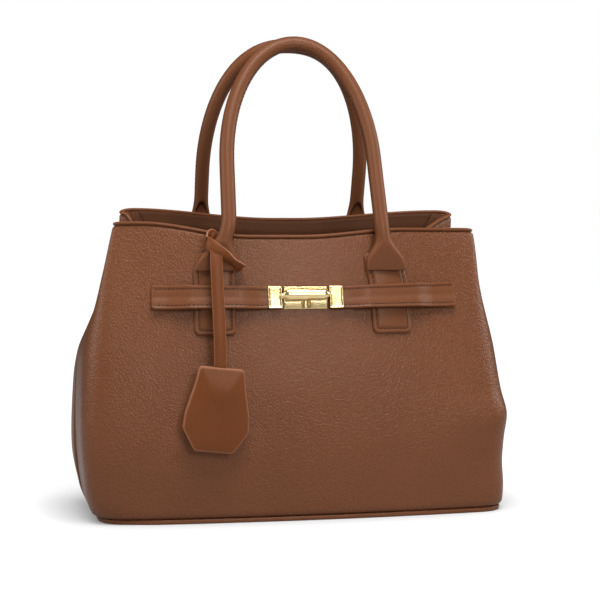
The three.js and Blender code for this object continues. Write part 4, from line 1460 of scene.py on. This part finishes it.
for wall in (FRONT, BACK):
    roll = handle_rings(wall)
    body = wall.name + "_handle"
    nodes = [body + "_sheath", f"{wall.name}_left_handle_foot", f"{wall.name}_right_handle_foot"]
    bm = loft(roll.rings, marks={"crease": roll.creases, "wear": roll.wear})
    handle = add_piece(wall.name + "_rolled_handle", bm, SMOOTH, None, nodes)
    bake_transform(handle)
    add_piece(wall.name + "_rope", loft(roll.rope), ROPE, body, [body + "_core"])
    add_stitches(wall.name + "_handle_stitches", roll.seam[::SEAM_EVERY], body)

# %% [markdown]
# ## The turn lock
# The lock is four castings in pale gold: a middle plate with two raised pads and a stem, a framed plate
# at each end of it, and the toggle. They are made flat, with outwards as -Y, and one matrix seats them on
# the front. The plates start as boxes, and bevels give the narrow edges that catch the light. The middle
# plate faces down a little and the end plates face up, so the soft boxes shine in them differently. A
# Weighted Normal modifier keeps their faces flat in the light between the rounded edges.

# %% Lock plates
LOCK_OUT = Vector(JOINTS["toggle_turn"]["axis"])
LOCK_UP = X_AXIS.cross(-LOCK_OUT)
LOCK = Matrix((X_AXIS, -LOCK_OUT, LOCK_UP)).transposed().to_4x4()
LOCK.translation = skin(FRONT, 0, BELT_Z)
LOCK_HEIGHT = 0.017
METAL_ROUND = 0.0004
METAL_CREASE = math.radians(38)
PLATE_HALF_WIDTH = 0.017
PLATE_LIFT = 0.0007
PLATE_THICKNESS = 0.002
PLATE_TILT = math.radians(6)
# left end, right end and upper edge of each pad
PADS = ((-0.0162, -0.0032, -0.0030), (0.0034, 0.0162, -0.0024))
PAD_BOTTOM = -0.0081
PAD_DEPTH = 0.0016
PAD_SINK = 0.0004
PAD_ROUND = 0.0005
STEM = SimpleNamespace(
    z=-0.0044, length=0.0066, low_radius=0.0029, high_radius=0.0024, flat=0.38, proud=0.0006,
)
END_PLATE_X = 0.0236
END_PLATE_WIDTH = 0.0104
END_PLATE_LIFT = 0.0032
END_PLATE_THICKNESS = 0.0018
END_PLATE_FRAME = 0.0013
END_PLATE_SLOPE = 0.0008
END_PLATE_RECESS = 0.0004
END_PLATE_ROUND = 0.0003
END_PLATE_TILT = math.radians(-8)


def add_block(bm, low, high):
    """A box between two corners. Gives its edges."""
    size = Vector(high) - Vector(low)
    middle = (Vector(high) + Vector(low)) / 2
    place = Matrix.Translation(middle) @ Matrix.Diagonal((*size, 1))
    made = set(bmesh.ops.create_cube(bm, size=1.0, matrix=place)["verts"])
    return [edge for edge in bm.edges if edge.verts[0] in made]


def tilt(bm, lift, angle):
    """Leans a plate about the middle of its back."""
    turn = Matrix.Rotation(angle, 3, "X")
    bmesh.ops.rotate(bm, verts=bm.verts, cent=Vector((0, -lift, 0)), matrix=turn)


def middle_plate():
    """The plate behind the toggle, with its pads and the stem between them."""
    bm = bmesh.new()
    low = (-PLATE_HALF_WIDTH, -PLATE_LIFT - PLATE_THICKNESS, -LOCK_HEIGHT / 2)
    high = (PLATE_HALF_WIDTH, -PLATE_LIFT, LOCK_HEIGHT / 2)
    round_edges(bm, add_block(bm, low, high), METAL_ROUND)
    pad_back = -PLATE_LIFT - PLATE_THICKNESS + PAD_SINK
    for left, right, top in PADS:
        edges = add_block(bm, (left, pad_back - PAD_DEPTH, PAD_BOTTOM), (right, pad_back, top))
        round_edges(bm, edges, PAD_ROUND)
    place = Matrix.Translation((0.0, pad_back - STEM.proud, STEM.z)) @ Matrix.Diagonal((1, STEM.flat, 1, 1))
    bmesh.ops.create_cone(
        bm, cap_ends=True, segments=20, radius1=STEM.low_radius, radius2=STEM.high_radius,
        depth=STEM.length, matrix=place,
    )
    tilt(bm, PLATE_LIFT, PLATE_TILT)
    return bm


def end_plate(side):
    """A plate with a narrow frame round a shallow recess."""
    bm = bmesh.new()
    front = -END_PLATE_LIFT - END_PLATE_THICKNESS
    low = (side * END_PLATE_X - END_PLATE_WIDTH / 2, front, -LOCK_HEIGHT / 2)
    high = (side * END_PLATE_X + END_PLATE_WIDTH / 2, -END_PLATE_LIFT, LOCK_HEIGHT / 2)
    add_block(bm, low, high)
    bm.normal_update()
    face = min(bm.faces, key=lambda part: part.calc_center_median().y)
    bmesh.ops.inset_region(bm, faces=[face], thickness=END_PLATE_FRAME)
    bmesh.ops.inset_region(bm, faces=[face], thickness=END_PLATE_SLOPE, depth=-END_PLATE_RECESS)
    round_edges(bm, list(bm.edges), END_PLATE_ROUND)
    tilt(bm, END_PLATE_LIFT, END_PLATE_TILT)
    return bm


def add_metal(name, bm, body, nodes):
    """Seats a lock piece on the front of the bag."""
    bmesh.ops.transform(bm, matrix=LOCK, verts=bm.verts)
    piece = add_piece(name, bm, GOLD, body, nodes)
    piece.data.set_sharp_from_angle(angle=METAL_CREASE)
    flat = piece.modifiers.new("flat_faces", "WEIGHTED_NORMAL")
    flat.keep_sharp = True


add_metal("lock_plate", middle_plate(), "bag", ["lock_middle_plate"])
add_metal("lock_left_end", end_plate(-1), "bag", ["lock_left_plate"])
add_metal("lock_right_end", end_plate(1), "bag", ["lock_right_plate"])

# %% [markdown]
# ## The toggle
# The toggle turns a quarter turn on a post. It is a bar with an oval section and blunt ends, slimmer on
# its right half, with a small boss on its left end. Oval rings of different sizes are lofted along it,
# because a scaled cylinder would have neither the step in the middle nor the blunt ends.

# %% Toggle
TOGGLE_RAISE = 0.002
TOGGLE_MIDDLE = 0.0071
TOGGLE_SIDES = 14
TOGGLE_HALF_DEPTH = 0.0031
TOGGLE_HALF_HEIGHT = 0.0045
# places along the bar, each with the size of its ring
TOGGLE_STATIONS = (
    (-0.0178, 0.22), (-0.0170, 0.52), (-0.0155, 0.80), (-0.0132, 1.0), (0.0010, 1.0),
    (0.0013, 0.86), (0.0136, 0.86), (0.0156, 0.70), (0.0170, 0.48), (0.0178, 0.20),
)
BOSS_RADIUS = 0.0022
BOSS_PROUD = 0.0008
BOSS_DROP = 0.0012


def toggle_mesh():
    """The bar and its boss."""
    rings = []
    for x, scale in TOGGLE_STATIONS:
        ring = []
        for turn in turns(TOGGLE_SIDES):
            y = TOGGLE_HALF_DEPTH * scale * math.cos(turn)
            z = TOGGLE_HALF_HEIGHT * scale * math.sin(turn)
            ring.append(Vector((x, y - TOGGLE_MIDDLE, z + TOGGLE_RAISE)))
        rings.append(ring)
    bm = loft(rings)
    left_end = TOGGLE_STATIONS[0][0]
    boss = Matrix.Translation((left_end - BOSS_PROUD, -TOGGLE_MIDDLE, TOGGLE_RAISE - BOSS_DROP))
    bmesh.ops.create_uvsphere(bm, u_segments=16, v_segments=10, radius=BOSS_RADIUS, matrix=boss)
    return bm


add_metal("turn_toggle", toggle_mesh(), "toggle", ["lock_toggle"])

# %% [markdown]
# ## The charm's loop and strap
# A flat strap is tied round the foot of the left front handle and carries a small bell. The loop is a
# ribbon that leans from high on the left to low on the right, and twists as it goes round. The strap
# hangs from it and bends at the bell's mouth. Both are a flat ring that is lofted along a line, and the
# ring's narrow sides are marked as worn, because cut edges are paler.

# %% Loop and strap
LOOP_STEPS = 72
LOOP_WIDTH = 0.009
LOOP_X = -0.0624
LOOP_Z = 0.2015
LOOP_HALF_ACROSS = 0.0123
LOOP_HALF_DEPTH = 0.0084
LOOP_FORWARD = 0.0006
LOOP_RIGHT_FORWARD = 0.0035
LOOP_SLOPE = 0.0095
LOOP_LIFT = 0.010
LOOP_BACK_EASE = 1.1
LOOP_LEFT_EASE = 0.3
LOOP_TWIST = 1.5
LOOP_TWIST_START = -0.8
LOOP_TWIST_SPAN = 1.5
LOOP_LEFT_TWIST = -0.35
RIBBON_CUT = 0.3
EDGE_WEAR = (0.8, 0.8, 0, 0, 0.8, 0.8, 0, 0)
STRAP_WIDTH = 0.0092
STRAP_THICKNESS = 0.0018
STRAP_PITCH = 0.002
STRAP_SMOOTHING = 6
# x, y from the swing's hinge and z of the strap's upper points
STRAP_TOP = (
    (-0.0680, 0.0030, 0.2068),
    (-0.0687, -0.0002, 0.1995),
    (-0.0688, -0.0028, 0.1930),
    (-0.0683, -0.0052, 0.1760),
)
STRAP_BEND_X = -0.0671
STRAP_ABOVE_BEND = Vector((-0.0002, 0.0012, 0.0180))
STRAP_END_X = -0.0690
STRAP_IN_BELL = 0.030
flip = Vector(JOINTS["charm_flip"]["pos_m"])
swing = Vector(JOINTS["charm_swing"]["pos_m"])


def ribbon_ring(middle, across, out, width, thickness):
    """A flat section with its corners cut."""
    cut = thickness * RIBBON_CUT
    half = width / 2
    side = thickness / 2
    corners = (
        (half, -side + cut), (half, side - cut), (half - cut, side), (-half + cut, side),
        (-half, side - cut), (-half, -side + cut), (-half + cut, -side), (half - cut, -side),
    )
    return [middle + across * a + out * b for a, b in corners]


def ribbon(line, outs, width, closed=False):
    """A flat ribbon along a line, with pale cut edges."""
    rings = []
    for number, point in enumerate(line):
        if closed:
            ahead = line[(number + 1) % len(line)] - line[number - 1]
        else:
            ahead = heading(line, number)
        out = (outs[number] - ahead * (outs[number].dot(ahead) / ahead.length_squared)).normalized()
        rings.append(ribbon_ring(point, ahead.cross(out).normalized(), out, width, STRAP_THICKNESS))
    return loft(rings, closed=closed, marks={"wear": [EDGE_WEAR] * len(rings)})


def loop_mesh():
    """A ribbon round the handle foot, high on the left and low on the right."""
    hinge = Vector(JOINTS["front_handle_fold"]["pos_m"])
    line = []
    outs = []
    for angle in turns(LOOP_STEPS):
        right = math.cos(angle)
        front = math.sin(angle)
        x = LOOP_X + LOOP_HALF_ACROSS * right
        y = hinge.y - LOOP_FORWARD - LOOP_HALF_DEPTH * front - LOOP_RIGHT_FORWARD * ease(right)
        back_left = ease(-LOOP_BACK_EASE * front) * ease(LOOP_LEFT_EASE - right)
        z = LOOP_Z - LOOP_SLOPE * right + LOOP_LIFT * back_left
        line.append(Vector((x, y, z)))
        twist = LOOP_TWIST * ease((right - LOOP_TWIST_START) / LOOP_TWIST_SPAN) + LOOP_LEFT_TWIST
        outward = Vector((right / LOOP_HALF_ACROSS, -front / LOOP_HALF_DEPTH, 0)).normalized()
        outs.append(outward * math.cos(twist) - Z_AXIS * math.sin(twist))
    return ribbon(line, outs, LOOP_WIDTH, closed=True)


def strap_mesh():
    """The strap, from behind the loop down into the bell."""
    points = [Vector((x, swing.y + y, z)) for x, y, z in STRAP_TOP]
    bend = Vector((STRAP_BEND_X, flip.y, flip.z))
    points += [bend + STRAP_ABOVE_BEND, bend, Vector((STRAP_END_X, flip.y, flip.z - STRAP_IN_BELL))]
    line = smoothed(resample(points, STRAP_PITCH), STRAP_SMOOTHING)
    return ribbon(line, [Vector((0, -1, 0))] * len(line), STRAP_WIDTH)


add_piece("charm_ribbon", loop_mesh(), CHARM, "bag", ["charm_loop"])
strap_nodes = ["charm_strap", "charm_tongue"]
strap = add_piece("charm_hanging_strap", strap_mesh(), CHARM, None, strap_nodes)
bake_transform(strap)

# %% [markdown]
# ## The bell
# The bell is two leather halves, sewn together round the end of the strap. Each half is lofted from its
# outline inwards, ring by ring. The first rings make the thin pale cut edge, and the others are lifted,
# so that the half is domed and swells most over the strap's end.

# %% Bell
BELL_TILT = math.radians(6.2)
BELL_TOP_DROP = 0.0042
BELL_SIDE = ((0.0165, 0), (0.0186, -0.0126), (0.0240, -0.0355), (0.0246, -0.0468), (0.0144, -0.0628))
BELL_CORNER = 0.0022
BELL_CORNER_STEPS = 4
BELL_BACK = 0.0013
BELL_THICKNESS = 0.0024
BELL_DOME = SimpleNamespace(height=0.0020, half_width=0.0235, half_height=0.034)
BELL_SWELL = SimpleNamespace(height=0.0034, x=0.002, x_reach=0.011, z=-0.015, z_reach=0.013)
BELL_EDGE = 0.3
# share of the outline, lift and wear of the rings at the edge, then the shares of those inside it
BELL_EDGE_RINGS = ((1.0, 0.0, 0.7), (1.0, 0.0013, 0.7), (0.985, 0.0019, 0.5), (0.94, 0.0023, 0.0))
BELL_INNER_SHARES = (0.87, 0.78, 0.67, 0.55, 0.43, 0.31, 0.20, 0.10, 0.01)


def rounded(corners, reach):
    """An outline whose corners are replaced by short curves."""
    points = []
    for number, corner in enumerate(corners):
        before = corners[number - 1]
        after = corners[(number + 1) % len(corners)]
        first = corner + (before - corner).normalized() * reach
        last = corner + (after - corner).normalized() * reach
        for step in range(BELL_CORNER_STEPS + 1):
            share = step / BELL_CORNER_STEPS
            points.append(first.lerp(corner, share).lerp(corner.lerp(last, share), share))
    return points


def bell_swelling(x, z, middle_z):
    """How far a half stands out at a place, apart from its edge."""
    wide = clamp(1 - (x / BELL_DOME.half_width) ** 2)
    high = clamp(1 - ((z - middle_z) / BELL_DOME.half_height) ** 2)
    over_strap = peak(x, BELL_SWELL.x, BELL_SWELL.x_reach) * peak(z, BELL_SWELL.z, BELL_SWELL.z_reach)
    return BELL_DOME.height * wide * high + BELL_SWELL.height * over_strap


def bell_half(side):
    """One half of the bell: side is -1 in front and 1 behind."""
    corners = [Vector(point) for point in BELL_SIDE]
    corners += [Vector((-x, z)) for x, z in reversed(BELL_SIDE)]
    edge = rounded(corners, BELL_CORNER)
    middle = sum(edge, Vector((0, 0))) / len(edge)
    rings = []
    wear = []
    inner_rings = tuple((share, BELL_THICKNESS, 0.0) for share in BELL_INNER_SHARES)
    for scale, lift, paleness in BELL_EDGE_RINGS + inner_rings:
        ring = []
        for point in edge:
            x, z = middle + (point - middle) * scale
            swollen = bell_swelling(x, z, middle.y) * ease((1 - scale) / BELL_EDGE)
            ring.append(Vector((x, side * (BELL_BACK + lift + swollen), z)))
        rings.append(ring)
        wear.append([paleness] * len(edge))
    bm = loft(rings, marks={"wear": wear})
    place = Matrix.Translation(flip - Z_AXIS * BELL_TOP_DROP) @ Matrix.Rotation(BELL_TILT, 4, "Y")
    bmesh.ops.transform(bm, matrix=place, verts=bm.verts)
    return bm


add_piece("bell_front", bell_half(-1), CHARM, "charm_bell", ["charm_bell_front"])
add_piece("bell_back", bell_half(1), CHARM, "charm_bell", ["charm_bell_back"])

# %% [markdown]
# ## Pieces that keep their shape
# The lock's post and its backing plate are hidden in the finished bag, and their frame shapes are right.
# They only need the finish of what they are made of.

# %% Finish of the hidden metal
HIDDEN_METAL = ("lock_backing_plate", "lock_post")
for node in HIDDEN_METAL:
    materials = frame["nodes"][node].data.materials
    materials.clear()
    materials.append(GOLD)
print("hidden pieces finished:", ", ".join(HIDDEN_METAL))
